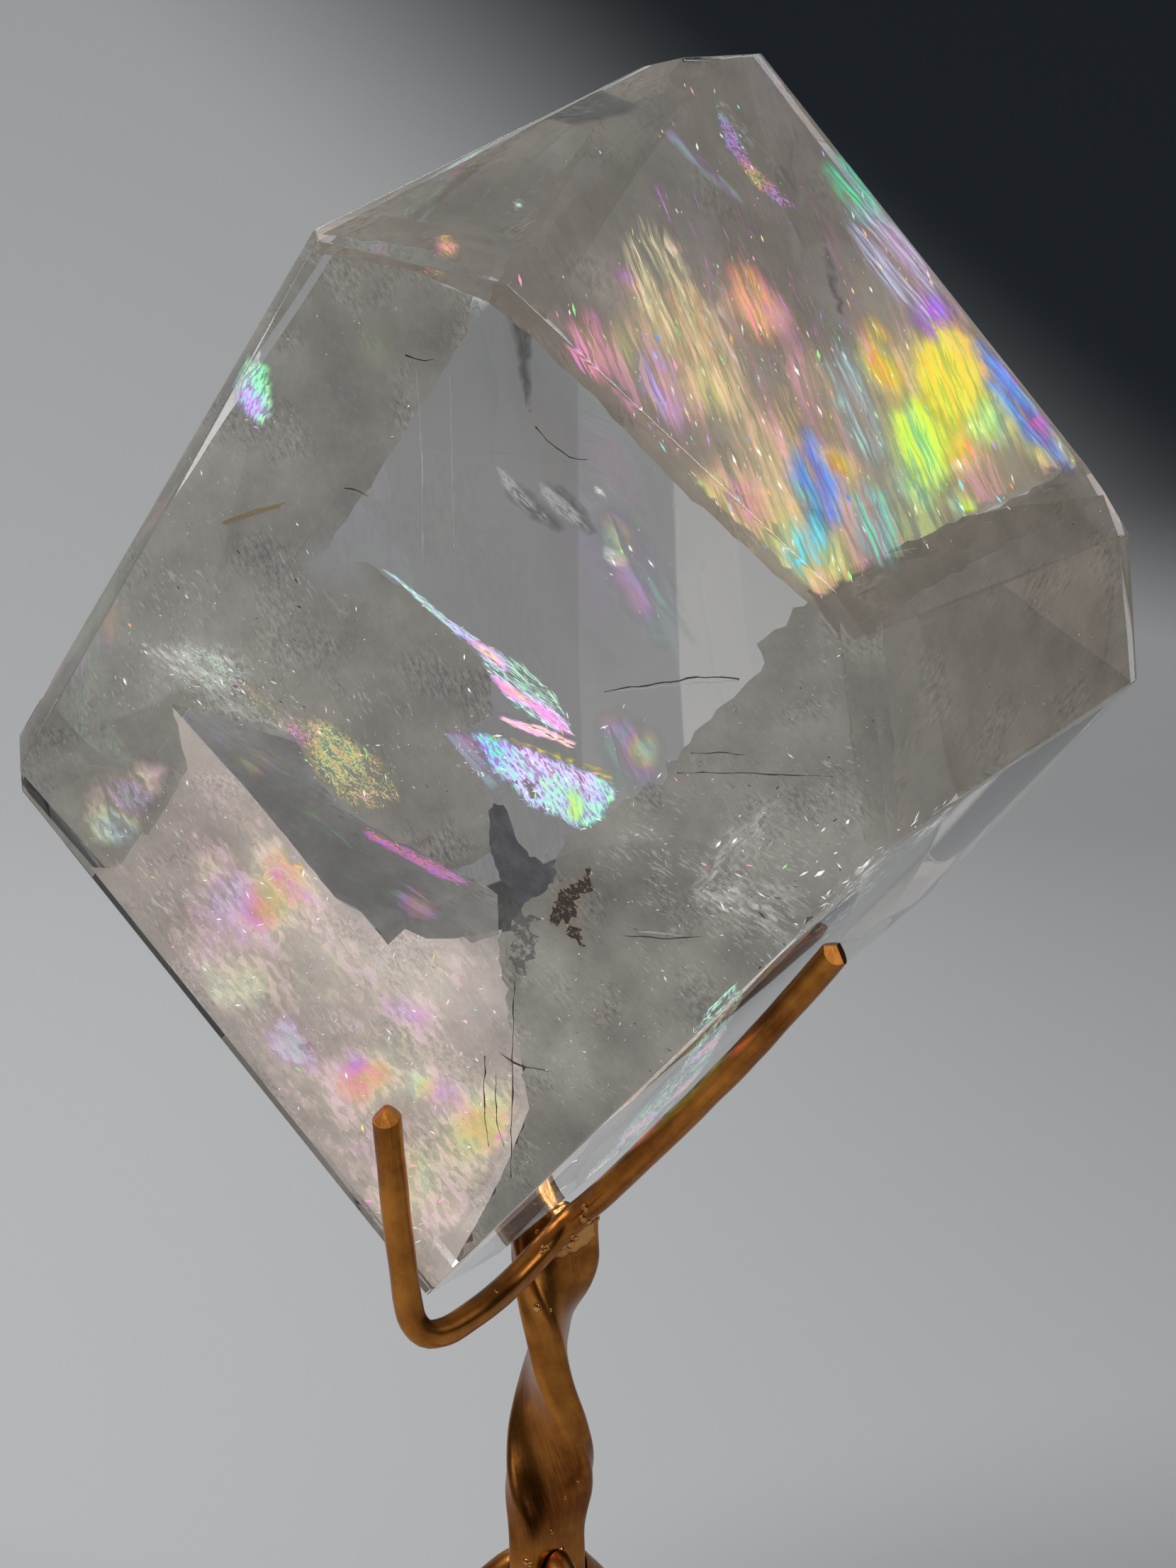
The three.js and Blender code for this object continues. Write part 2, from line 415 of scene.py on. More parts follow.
def cut_mesh(mesh: Mesh, point: Vector, normal: Vector, near: float = 7, rim: float = 0.12) -> None:
    """Cuts a closed mesh off beyond a plane and closes it with a flat end and a small broken edge.

    Args:
        mesh: the mesh, in metres.
        point: a point of the plane, in millimetres.
        normal: the side that goes.
        near: only what lies this near to the point is cut, in millimetres.
        rim: width of the broken edge, in millimetres.
    """
    shell = bmesh.new()
    shell.from_mesh(mesh)
    faces = [f for f in shell.faces if (f.calc_center_median() - point * MM).length < near * MM]
    parts = [*faces, *(e for f in faces for e in f.edges), *(v for f in faces for v in f.verts)]
    around = list(dict.fromkeys(parts))  # each once, in an order that is the same each run
    cut = bmesh.ops.bisect_plane(
        shell, geom=around, plane_co=point * MM, plane_no=normal, clear_outer=True
    )
    edges = [e for e in cut["geom_cut"] if isinstance(e, bmesh.types.BMEdge)]
    if edges:
        caps = bmesh.ops.contextual_create(shell, geom=edges)["faces"]
        for cap in caps:
            cap.smooth = False
        border = [e for cap in caps for e in cap.edges]
        bmesh.ops.bevel(
            shell, geom=border, offset=rim * MM, segments=2, profile=0.6, affect="EDGES", clamp_overlap=True
        )
    bmesh.ops.recalc_face_normals(shell, faces=shell.faces)
    shell.to_mesh(mesh)
    shell.free()


# ---------------------------------------------------------------- shader helpers


class Wiring:
    """Short ways to add nodes to a node tree."""

    def __init__(self, tree: NodeTree) -> None:
        """Keeps the tree.

        Args:
            tree: the tree to add to.
        """
        self.tree = tree

    def node(self, kind: str, settings: dict | None = None, **inputs: object) -> Node:
        """Adds a node.

        Args:
            kind: the node's type.
            settings: properties to set on it.
            inputs: values or sockets for its inputs, by name with _ for a space.

        Returns:
            The new node.
        """
        node = self.tree.nodes.new(kind)
        for name, value in (settings or {}).items():
            setattr(node, name, value)
        self.give(node, **inputs)
        return node

    def give(self, node: Node, **inputs: object) -> None:
        """Feeds a node's inputs, by name with _ for a space."""
        for name, value in inputs.items():
            self.feed(node.inputs[name.replace("_", " ")], value)

    def feed(self, socket: NodeSocket, value: object) -> None:
        """Links a socket to another, or sets its value.

        Args:
            socket: the input to feed.
            value: a socket, a node whose first output is meant, or a plain value.
        """
        if isinstance(value, NodeSocket):
            self.tree.links.new(value, socket)
        elif isinstance(value, Node):
            self.tree.links.new(value.outputs[0], socket)
        else:
            socket.default_value = value

    def math(self, operation: str, *terms: object, clamp: bool = False) -> NodeSocket:
        """A Math node over values or sockets.

        Args:
            operation: the node's operation.
            terms: its inputs in order.
            clamp: whether the result is held between 0 and 1.

        Returns:
            Its output.
        """
        node = self.tree.nodes.new("ShaderNodeMath")
        node.operation = operation
        node.use_clamp = clamp
        for socket, term in zip(node.inputs, terms):
            self.feed(socket, term)
        return node.outputs[0]

    def times(self, first: object, second: object, clamp: bool = False) -> NodeSocket:
        """The product of two values."""
        return self.math("MULTIPLY", first, second, clamp=clamp)

    def plus(self, first: object, second: object) -> NodeSocket:
        """The sum of two values."""
        return self.math("ADD", first, second)

    def minus(self, first: object, second: object) -> NodeSocket:
        """The difference of two values."""
        return self.math("SUBTRACT", first, second)

    def times_plus(self, first: object, second: object, third: object) -> NodeSocket:
        """The product of two values, plus a third."""
        return self.math("MULTIPLY_ADD", first, second, third)

    def attribute(self, name: str) -> NodeSocket:
        """A value written on the mesh."""
        return self.node("ShaderNodeAttribute", {"attribute_name": name}).outputs["Fac"]

    def map_of(self, name: str) -> NodeSocket:
        """A place on one of the mesh's own maps."""
        return self.node("ShaderNodeUVMap", {"uv_map": name}).outputs[0]

    def object_place(self) -> NodeSocket:
        """A place in the object's own frame, in metres."""
        return self.node("ShaderNodeTexCoord").outputs["Object"]

    def bump(self, height: object, strength: float, distance: float) -> NodeSocket:
        """A normal bent by a height."""
        return self.node("ShaderNodeBump", Height=height, Strength=strength, Distance=distance).outputs[0]

    def mix(self, factor: object, first: object, second: object, blend: str = "MIX") -> NodeSocket:
        """A colour Mix node.

        Args:
            factor: how much of the second.
            first: colour or socket.
            second: colour or socket.
            blend: the blend type.

        Returns:
            The mixed colour.
        """
        node = self.tree.nodes.new("ShaderNodeMix")
        node.data_type = "RGBA"
        node.blend_type = blend
        self.feed(node.inputs[0], factor)
        for socket, colour in ((node.inputs[6], first), (node.inputs[7], second)):
            self.feed(socket, (*colour, 1) if isinstance(colour, tuple) and len(colour) == 3 else colour)
        return node.outputs[2]

    def band(self, value: object, low: float, high: float) -> NodeSocket:
        """A smooth step from 0 at low to 1 at high."""
        settings = {"interpolation_type": "SMOOTHSTEP"}
        return self.node("ShaderNodeMapRange", settings, Value=value, From_Min=low, From_Max=high).outputs[0]

    def noise(
        self, vector: object, scale: float, detail: float, rough: float = 0.55, flat: bool = False
    ) -> NodeSocket:
        """A noise between 0 and 1 over a vector, or over its first two axes only.

        Args:
            vector: the place to read it at.
            scale: cells in one unit of the vector.
            detail: octaves.
            rough: weight of the finer octaves.
            flat: whether only the first two axes count.

        Returns:
            The noise.
        """
        settings = {"noise_dimensions": "2D" if flat else "3D"}
        inputs = {"Vector": vector, "Scale": scale, "Detail": detail, "Roughness": rough}
        return self.node("ShaderNodeTexNoise", settings, **inputs).outputs["Fac"]

    def stretched(self, vector: object, scale: Row) -> NodeSocket:
        """A vector scaled along each axis."""
        return self.node("ShaderNodeMapping", Vector=vector, Scale=scale).outputs[0]


def effect_group(name: str, inputs: dict[str, tuple[str, object]], outputs: dict[str, str]) -> tuple:
    """Starts a shader node group with named inputs and outputs.

    Args:
        name: the group's name.
        inputs: socket type and default by name.
        outputs: socket type by name.

    Returns:
        The group's tree, its wiring, and its input and output nodes.
    """
    tree = bpy.data.node_groups.new(name, "ShaderNodeTree")
    for label, (kind, value) in inputs.items():
        socket = tree.interface.new_socket(label, in_out="INPUT", socket_type=kind)
        if value is not None:
            socket.default_value = value
    for label, kind in outputs.items():
        tree.interface.new_socket(label, in_out="OUTPUT", socket_type=kind)
    wiring = Wiring(tree)
    return tree, wiring, tree.nodes.new("NodeGroupInput"), tree.nodes.new("NodeGroupOutput")


RED_GREEN_BLUE = (640.0, 535.0, 450.0)  # wavelengths in nanometres


def film_colour_group() -> NodeTree:
    """Colours of a thin film of air in a crack: bright where half waves fit its thickness.

    Returns:
        The node group, from a thickness in nanometres to a colour.
    """
    tree, w, into, out = effect_group(
        "film_colour",
        {"Nanometres": ("NodeSocketFloat", 300.0), "Purity": ("NodeSocketFloat", 1.0)},
        {"Color": "NodeSocketColor"},
    )
    channels = []
    for wavelength in RED_GREEN_BLUE:
        phase = w.times(into.outputs["Nanometres"], 2 * math.pi / wavelength)
        wave = w.math("SINE", phase)
        channels.append(w.times(wave, wave))
    rgb = w.node("ShaderNodeCombineColor", Red=channels[0], Green=channels[1], Blue=channels[2])
    tuned = w.node("ShaderNodeHueSaturation", Saturation=into.outputs["Purity"], Color=rgb.outputs[0])
    w.feed(out.inputs["Color"], tuned.outputs[0])
    return tree


def streak_group() -> NodeTree:
    """Feathery streaks along the map's second axis, from broad to fine.

    Returns:
        The node group, from a map in millimetres to two values about 0.5.
    """
    tree, w, into, out = effect_group(
        "feather_streaks",
        {
            "Vector": ("NodeSocketVector", None),
            "Width": ("NodeSocketFloat", 1.0),
            "Stretch": ("NodeSocketFloat", 6.0),
        },
        {"Broad": "NodeSocketFloat", "Fine": "NodeSocketFloat"},
    )
    fine_x = w.math("DIVIDE", 1.0, into.outputs["Width"])
    fine_y = w.math("DIVIDE", fine_x, into.outputs["Stretch"])
    scale = w.node("ShaderNodeCombineXYZ", X=fine_x, Y=fine_y, Z=1.0)
    flat = {"noise_dimensions": "2D"}
    drift = w.node("ShaderNodeTexNoise", flat, Vector=into.outputs["Vector"], Scale=0.16, Detail=2.0)
    moved = w.node("ShaderNodeVectorMath", {"operation": "ADD"})
    w.feed(moved.inputs[0], into.outputs["Vector"])
    w.feed(moved.inputs[1], drift.outputs["Color"])
    scaled = w.node("ShaderNodeVectorMath", {"operation": "MULTIPLY"})
    w.feed(scaled.inputs[0], moved.outputs[0])
    w.feed(scaled.inputs[1], scale.outputs[0])
    for label, cells, cloud, share in (("Broad", 0.4, 0.28, 0.2), ("Fine", 2.2, 1.9, 0.3)):
        level = {"voronoi_dimensions": "2D"}
        cell = w.node("ShaderNodeTexVoronoi", level, Vector=scaled.outputs[0], Scale=cells)
        chance = w.node("ShaderNodeSeparateColor", Color=cell.outputs["Color"]).outputs[0]
        mist = w.noise(scaled.outputs[0], cloud, 4.0, 0.62, flat=True)
        w.feed(out.inputs[label], w.times_plus(chance, share, w.times(mist, 1 - share)))
    return tree


class Effects:
    """The node groups that several materials share."""

    def __init__(self) -> None:
        """Builds each group once."""
        self.film_colour = film_colour_group()
        self.streaks = streak_group()

    def place(self, w: Wiring, tree: NodeTree, **inputs: object) -> Node:
        """Puts a group into a material and feeds its inputs."""
        return w.node("ShaderNodeGroup", {"node_tree": tree}, **inputs)


def new_material(name: str) -> tuple[Material, Wiring, Node]:
    """Starts a material.

    Args:
        name: the material's name.

    Returns:
        The material, its wiring and its Principled shader.
    """
    material = bpy.data.materials.new(name)
    material.use_nodes = True
    material.cycles.emission_sampling = "NONE"
    shader = next(n for n in material.node_tree.nodes if n.type == "BSDF_PRINCIPLED")
    return material, Wiring(material.node_tree), shader


# ---------------------------------------------------------------- finishes


@dataclass(frozen=True)
class CalciteFinish:
    """Clear calcite: polished faces over a faintly smoky body."""

    ior: float = 1.6
    tint: Colour = (0.87, 0.855, 0.83)

    def material(self) -> Material:
        """Makes the block's material.

        Returns:
            The material, which reads the object's own frame.
        """
        material, w, shader = new_material("calcite_clear")
        w.give(shader, Base_Color=(*self.tint, 1), Transmission_Weight=1.0, IOR=self.ior)
        place = w.object_place()
        smear = w.band(w.noise(place, 90.0, 5.0, 0.7), 0.52, 0.8)
        scratch = w.band(w.noise(w.stretched(place, (900, 2600, 60)), 1.0, 2.0), 0.66, 0.74)
        w.give(shader, Roughness=w.times(w.plus(smear, scratch), 0.035, clamp=True))
        wave = w.noise(place, 55.0, 2.0)
        w.give(shader, Normal=w.bump(w.plus(wave, w.times(scratch, 0.05)), 0.05, 0.0006))
        return material


@dataclass(frozen=True)
class FilmFinish:
    """A crack filled with a film of air, whose colours follow its thickness in feathery streaks; the colours
    are painted glow, standing in for the light that the film reflects.
    """

    name: str
    glow: float = 1.0
    purity: float = 0.9
    pale: float = 0.5
    width: float = 1.2
    stretch: float = 6.0
    swing: float = 420.0
    fine_swing: float = 160.0
    low: float = 0.2
    high: float = 0.75
    patchy: float = 1.6
    feathery: float = 0.9
    crisp: float = 0.7
    cover: float = 0.85
    body: Colour = (0.25, 0.25, 0.25)

    def material(self, effects: Effects) -> Material:
        """Makes the film's material.

        Args:
            effects: the shared node groups.

        Returns:
            The material, which reads the sheet's map and its film, glow and edge attributes.
        """
        material, w, shader = new_material(self.name)
        across = w.map_of("sheet_mm")
        streak = effects.place(w, effects.streaks, Vector=across, Width=self.width, Stretch=self.stretch)
        thick = w.attribute("film")
        light = w.attribute("glow")
        edge = w.attribute("edge")
        broad = w.minus(streak.outputs["Broad"], 0.5)
        fine = w.minus(streak.outputs["Fine"], 0.5)
        shift = w.times_plus(broad, self.swing, w.times(fine, self.fine_swing))
        pure = w.times_plus(w.band(light, 0.72, 1.0), self.purity - self.pale, self.pale)
        nanometres = w.plus(thick, shift)
        colour = effects.place(w, effects.film_colour, Nanometres=nanometres, Purity=pure)
        level = w.times_plus(broad, self.patchy, light)
        level = w.times_plus(fine, self.feathery, level)
        mask = w.times(w.band(level, self.low, self.high), edge)
        grain = w.times_plus(w.band(streak.outputs["Fine"], 0.36, 0.64), self.crisp, 1 - self.crisp * 0.5)
        bright = w.times(w.times(mask, grain), w.times_plus(light, 0.75, 0.25))
        # Painted light: the film's colours shine as emission, in place of the light that the crack reflects.
        w.give(
            shader, Base_Color=(*self.body, 1), Roughness=0.4, Specular_IOR_Level=0.2,
            Emission_Color=w.mix(bright, (0.0, 0.0, 0.0), colour.outputs[0]), Emission_Strength=self.glow,
            Alpha=w.times(mask, self.cover, clamp=True),
        )
        return material


@dataclass(frozen=True)
class HazeFinish:
    """Milky body of the stone, a cloud of tiny cracks whose tone follows the sheet's glow: painted light, its
    emission standing in for the light that the cracks scatter.
    """

    name: str
    body: Colour = (0.23, 0.222, 0.198)
    shine: float = 0.8
    lit: float = 0.45
    cover: float = 0.9
    grain: float = 1.0
    stretch: float = 3.0
    low: float = 0.1
    high: float = 0.35
    depth: float = 0.5

    def material(self, effects: Effects) -> Material:
        """Makes the cloud's material.

        Args:
            effects: the shared node groups.

        Returns:
            The material, which reads the sheet's map and its glow and edge attributes.
        """
        material, w, shader = new_material(self.name)
        across = w.map_of("sheet_mm")
        cloud = w.noise(across, 0.11, 4.0, 0.6, flat=True)
        wisp = effects.place(w, effects.streaks, Vector=across, Width=self.grain, Stretch=self.stretch)
        light = w.attribute("glow")
        edge = w.attribute("edge")
        mixed = w.times_plus(wisp.outputs["Fine"], 0.5, w.times(cloud, 0.5))
        slim = w.stretched(across, (1 / self.grain, 1 / (self.grain * self.stretch), 1.0))
        crinkle = w.noise(slim, 1.5, 4.0, 0.7, flat=True)
        patch = w.band(w.noise(across, 0.13, 2.0, 0.5, flat=True), 0.5, 0.68)
        broken = w.times(w.minus(crinkle, 0.5), w.times_plus(patch, 0.85, 0.15))
        relief = w.times_plus(w.minus(cloud, 0.5), self.depth * 2, 1.0)
        relief = w.times_plus(broken, self.depth * 3.2, relief)
        relief = w.math("MAXIMUM", relief, 0.25)
        # Painted light and shade: the glow attribute brightens or darkens the cloud where more or less light
        # reaches it.
        tone = w.times(relief, w.times_plus(light, 1.3, 0.35))
        grey = w.node("ShaderNodeCombineColor", Red=tone, Green=tone, Blue=tone)
        shade = w.mix(1.0, (*self.body, 1), grey, "MULTIPLY")
        w.give(
            shader, Base_Color=w.mix(self.lit, (0.0, 0.0, 0.0), shade), Emission_Color=shade,
            Emission_Strength=self.shine, Roughness=0.7, Specular_IOR_Level=0.0,
        )
        density = w.times(w.band(mixed, self.low, self.high), self.cover)
        w.give(shader, Alpha=w.times(density, edge, clamp=True))
        return material


@dataclass(frozen=True)
class HatchFinish:
    """Short fine strokes, bright and dark, where tiny cracks catch the light or block it."""

    name: str
    bright: Colour = (0.62, 0.62, 0.6)
    dark: Colour = (0.05, 0.05, 0.045)
    shine: float = 0.75
    cover: float = 0.7
    grain: float = 0.5
    stretch: float = 5.0
    share: float = 0.1

    def material(self, effects: Effects) -> Material:
        """Makes the strokes' material.

        Args:
            effects: the shared node groups.

        Returns:
            The material, which reads the sheet's map and its glow and edge attributes.
        """
        material, w, shader = new_material(self.name)
        across = w.map_of("sheet_mm")
        light = w.attribute("glow")
        edge = w.attribute("edge")
        stroke = effects.place(w, effects.streaks, Vector=across, Width=self.grain, Stretch=self.stretch)
        patch = w.noise(across, 0.2, 2.0, 0.6, flat=True)
        shift = w.times(w.plus(w.minus(patch, 0.5), w.minus(light, 0.5)), 0.5)
        fine = stroke.outputs["Fine"]
        level = w.plus(fine, shift)
        high = w.band(level, 0.66 - self.share * 0.5, 0.76 - self.share * 0.5)
        low = w.band(w.minus(1.0, fine), 0.68, 0.76)
        colour = w.mix(high, self.dark, self.bright)
        w.give(shader, Base_Color=colour, Emission_Color=colour, Emission_Strength=self.shine, Roughness=0.5)
        shown = w.times(w.math("MAXIMUM", high, w.times(low, 0.7)), self.cover)
        w.give(shader, Alpha=w.times(shown, edge, clamp=True))
        return material


class Hue(Enum):
    """Colours of the small flakes: each one's colour, which it also glows with as a painted glint, and how
    strongly it shines.
    """

    WHITE = ((0.95, 0.96, 0.97), 0.9)
    SILVER = ((0.62, 0.64, 0.66), 0.3)
    ROSE = ((1.0, 0.36, 0.62), 0.9)
    ORANGE = ((1.0, 0.46, 0.16), 0.9)
    GOLD = ((1.0, 0.85, 0.28), 0.9)
    GREEN = ((0.35, 1.0, 0.3), 0.85)
    CYAN = ((0.25, 0.9, 1.0), 0.85)
    BLUE = ((0.16, 0.3, 1.0), 0.9)
    VIOLET = ((0.68, 0.35, 1.0), 0.8)
    SMOKE = ((0.05, 0.05, 0.055), 0.0)

    def material(self) -> Material:
        """Makes the flake's material.

        Returns:
            The material of every flake of this hue.
        """
        colour, shine = self.value
        material, w, shader = new_material(f"flake_{self.name.lower()}")
        # Painted glint: the flake glows in its own colour.
        w.give(
            shader, Base_Color=(*colour, 1), Roughness=0.25, Emission_Color=(*colour, 1),
            Emission_Strength=shine,
        )
        return material


@dataclass(frozen=True)
class MetalFinish:
    """Brown-gold brass, satin from the forge, darker where it was heated and bright where it rubs."""

    name: str
    light: Colour = (0.64, 0.25, 0.046)
    dark: Colour = (0.17, 0.048, 0.01)
    smooth: float = 0.2
    dull: float = 0.4

    def material(self) -> Material:
        """Makes the metal's material.

        Returns:
            The material, which reads the piece's map in millimetres and its place.
        """
        material, w, shader = new_material(self.name)
        place = w.object_place()
        along = w.map_of("metal_mm")
        drawn = w.noise(w.stretched(along, (0.25, 9.0, 1.0)), 1.0, 4.0, 0.6)
        tarnish = w.noise(place, 140.0, 6.0, 0.62)
        patches = w.noise(place, 45.0, 3.0, 0.5)
        heat = w.plus(w.times(tarnish, 0.5), w.times(patches, 0.5))
        colour = w.mix(w.band(heat, 0.36, 0.66), self.dark, self.light)
        colour = w.mix(w.times(w.band(drawn, 0.45, 0.75), 0.22), colour, (0.7, 0.35, 0.1))
        w.give(shader, Base_Color=colour, Metallic=1.0)
        satin = w.plus(w.times(tarnish, 0.6), w.times(drawn, 0.4))
        w.give(shader, Roughness=w.times_plus(satin, self.dull - self.smooth, self.smooth))
        height = w.plus(w.times(drawn, 0.5), w.noise(place, 900.0, 4.0, 0.6))
        w.give(shader, Normal=w.bump(height, 0.35, 0.00006))
        return material


@dataclass(frozen=True)
class MineralFinish:
    """Dull mineral matter caught in the block, broken up into grains, with a faint painted glow in place of
    the light that reaches it through the glass.
    """

    name: str
    light: Colour
    dark: Colour
    cover: float = 1.0
    grain: float = 2.0
    holes: float = 0.0

    def material(self, effects: Effects) -> Material:
        """Makes the stain's material.

        Args:
            effects: the shared node groups, unused here, as all finishes of sheets are called alike.

        Returns:
            The material.
        """
        material, w, shader = new_material(self.name)
        place = w.object_place()
        grain = w.noise(place, 1000.0 / self.grain, 5.0, 0.7)
        colour = w.mix(w.band(grain, 0.35, 0.65), self.dark, self.light)
        # A faint glow of the mineral's own colour is painted light, as little light reaches it through the
        # glass.
        w.give(shader, Base_Color=colour, Emission_Color=colour, Emission_Strength=0.15, Roughness=0.8)
        if self.holes > 0:
            shown = w.band(grain, self.holes - 0.04, self.holes + 0.05)
            w.give(shader, Alpha=w.times(shown, self.cover, clamp=True))
        return material


# ---------------------------------------------------------------- what is sealed in the block

INSIDE = 0.35  # millimetres that sealed things keep from the block's faces
OWN_PULL = 0.35  # weight of a sheet's own film and glow
SPOT_PULL = 2.2  # weight of a spot's film and glow at its middle
RIM_STEP = 0.6  # length of an outline's steps, in cells
STRAY = 0.3  # how far a sheet's inner points stray from their grid, in cells
PER_SQUARE_METRE = 1e4  # square centimetres in one, as flakes are counted by the square centimetre
GLOW_POWER = 1.5  # how much a sheet's bright places draw its flakes


class Spot(NamedTuple):
    """A place on a sheet that pulls its film thickness and glow towards given values."""

    column: float
    row: float
    radius: float
    film: float
    glow: float


@dataclass(frozen=True)
class Flakes:
    """Small flakes strewn over a sheet: how many to a square centimetre, how long, and in which hues."""

    count: float
    size: float
    hues: dict[Hue, float]
    tilt: float = 50.0
    spin: float = 180.0


@dataclass
class Sheet:
    """A crack plane inside the block, laid out along the lines of sight through one face.

    The outline, the ends of the streaks and the pixel that picks the face are columns and rows of the
    camera's picture. An anchor is a pixel and a depth under the face, a spot is a row of Spot's fields, and a
    fade is a pixel and a radius. Lengths are millimetres and films nanometres.
    """

    name: str
    finish: FilmFinish | HazeFinish | HatchFinish | MineralFinish
    outline: list[Pixel]
    anchors: list[Row]
    streak: tuple[float, float, float, float] | None = None
    seen_at: Pixel | None = None
    film: float = 320.0
    glow: float = 0.5
    spots: list[tuple] | tuple = ()
    fades: list[Row] | tuple = ()
    flakes: Flakes | None = None
    cell: float = 1.6
    ragged: float = 0.5
    feather: float = 0.0
    wave: float = 0.25

    def lay_out(self, view: Viewpoint, block: Block) -> None:
        """Finds the crack's plane and its own axes.

        Args:
            view: the lines of sight.
            block: the block that holds the sheet.
        """
        (left, top, _), (right, low, _) = self.anchors[:2]
        seen = self.seen_at or (left, top)
        self.view, self.block = view, block
        self.face = block.face_at(view.eye, view.sight(seen))
        points = []
        for column, row, depth in self.anchors:
            entry, inner = block.look_in(view.eye, view.sight((column, row)), self.face)
            points.append(entry + inner * depth)
        self.normal = (points[1] - points[0]).cross(points[2] - points[0]).normalized()
        if self.normal.dot(view.eye - points[0]) < 0:
            self.normal.negate()
        self.origin = points[0]
        ends = self.streak or (left, top, right, low)
        start, end = self.on_plane(ends[:2]), self.on_plane(ends[2:])
        self.along = (end - start).normalized()
        self.across = self.along.cross(self.normal)

    def on_plane(self, pixel: Pixel) -> Vector:
        """Where the line of sight through a pixel meets the crack's plane, in millimetres.

        Args:
            pixel: column and row in the picture.

        Returns:
            The place.
        """
        entry, inner = self.block.look_in(self.view.eye, self.view.sight(pixel), self.face)
        way = (self.origin - entry).dot(self.normal) / inner.dot(self.normal)
        return entry + inner * way

    def flat(self, place: Vector) -> tuple[float, float]:
        """A place's two coordinates on the crack's plane, across and along its streaks."""
        offset = place - self.origin
        return offset.dot(self.across), offset.dot(self.along)

    def rim(self) -> np.ndarray:
        """The outline on the plane, broken into short ragged steps.

        Returns:
            Points on the plane, one to a row.
        """
        corners = np.array([self.flat(self.on_plane(p)) for p in self.outline])
        points = []
        for a, b in zip(corners, np.roll(corners, -1, axis=0)):
            length = np.linalg.norm(b - a)
            steps = max(1, round(length / (self.cell * RIM_STEP)))
            side = np.array([-(b - a)[1], (b - a)[0]]) / max(length, 1e-6)
            for k in range(steps):
                here = a + (b - a) * k / steps
                rough = noise.noise(Vector((here[0] * 0.9, here[1] * 0.9, len(self.name))))
                rough += 0.5 * noise.noise(Vector((here[0] * 2.7, here[1] * 2.7, 3.0)))
                points.append(here + side * rough * self.ragged * (k > 0))
        return np.array(points)

    def mesh(self) -> Mesh:
        """Builds the sheet, cut back to just inside the block.

        Returns:
            The mesh, in metres, with its map in millimetres and its film, glow and edge attributes.
        """
        rim = self.rim()
        low, high = rim.min(0), rim.max(0)
        rng = np.random.default_rng(len(self.outline) * 977 + len(self.name))
        columns, rows = (np.arange(low[k], high[k], self.cell) for k in range(2))
        grid = np.stack(np.meshgrid(columns, rows), axis=-1).reshape(-1, 2)
        grid = grid + rng.uniform(-STRAY, STRAY, grid.shape) * self.cell
        inside = grid[points_inside(grid, rim)]
        points = [Vector(p) for p in (*rim, *inside)]
        verts, _, faces, *_ = delaunay_2d_cdt(points, [], [list(range(len(rim)))], 1, 1e-5)
        shell = bmesh.new()
        made = []
        for x, y in verts:
            lift = self.wave * noise.noise(Vector((x * 0.16, y * 0.16, 7.7)))
            lift += 0.3 * self.wave * noise.noise(Vector((x * 0.7, y * 0.35, 1.7)))
            place = self.origin + self.across * x + self.along * y + self.normal * lift
            made.append(shell.verts.new(place * MM))
        for face in faces:
            shell.faces.new([made[i] for i in face])
        for face in self.block.faces:
            everything = [*shell.verts, *shell.edges, *shell.faces]
            limit = face.normal * (face.reach - INSIDE) * MM
            bmesh.ops.bisect_plane(
                shell, geom=everything, plane_co=limit, plane_no=face.normal, clear_outer=True
            )
        mesh = mesh_from(shell, self.name, smooth=True)
        self.paint(mesh, rim)
        return mesh

    def paint(self, mesh: Mesh, rim: np.ndarray) -> None:
        """Writes the sheet's map and attributes.

        Args:
            mesh: the sheet's mesh.
            rim: its outline on the plane.
        """
        flat = np.array([self.flat(v.co / MM) for v in mesh.vertices]).reshape(-1, 2)
        weight = np.full(len(flat), OWN_PULL)
        film, glow = self.film * weight, self.glow * weight
        for spot in map(Spot._make, self.spots):
            middle = np.array(self.flat(self.on_plane((spot.column, spot.row))))
            pull = np.exp(-((flat - middle) ** 2).sum(1) / spot.radius**2) * SPOT_PULL
            film, glow, weight = film + pull * spot.film, glow + pull * spot.glow, weight + pull
        inset = distance_to_rim(flat, rim)
        edge = np.clip(inset / self.feather, 0, 1) if self.feather else np.ones(len(flat))
        for column, row, radius in self.fades:
            middle = np.array(self.flat(self.on_plane((column, row))))
            edge = edge * (1 - np.exp(-((flat - middle) ** 2).sum(1) / radius**2))
        for name, values in (("film", film / weight), ("glow", glow / weight), ("edge", edge)):
            mesh.attributes.new(name, "FLOAT", "POINT").data.foreach_set("value", values.astype(np.float32))
        layer = mesh.uv_layers.new(name="sheet_mm")
        corners = np.zeros(len(mesh.loops), np.int32)
        mesh.loops.foreach_get("vertex_index", corners)
        layer.data.foreach_set("uv", flat[corners].astype(np.float32).ravel())


def points_inside(points: np.ndarray, rim: np.ndarray) -> np.ndarray:
    """Which points lie inside an outline.

    Args:
        points: points, one to a row.
        rim: the outline's points in order.

    Returns:
        A truth value for each point.
    """
    inside = np.zeros(len(points), bool)
    for (x0, y0), (x1, y1) in zip(rim, np.roll(rim, -1, axis=0)):
        crosses = (y0 > points[:, 1]) != (y1 > points[:, 1])
        at = x0 + (points[:, 1] - y0) / (y1 - y0 if y1 != y0 else 1e-9) * (x1 - x0)
        inside ^= crosses & (points[:, 0] < at)
    return inside


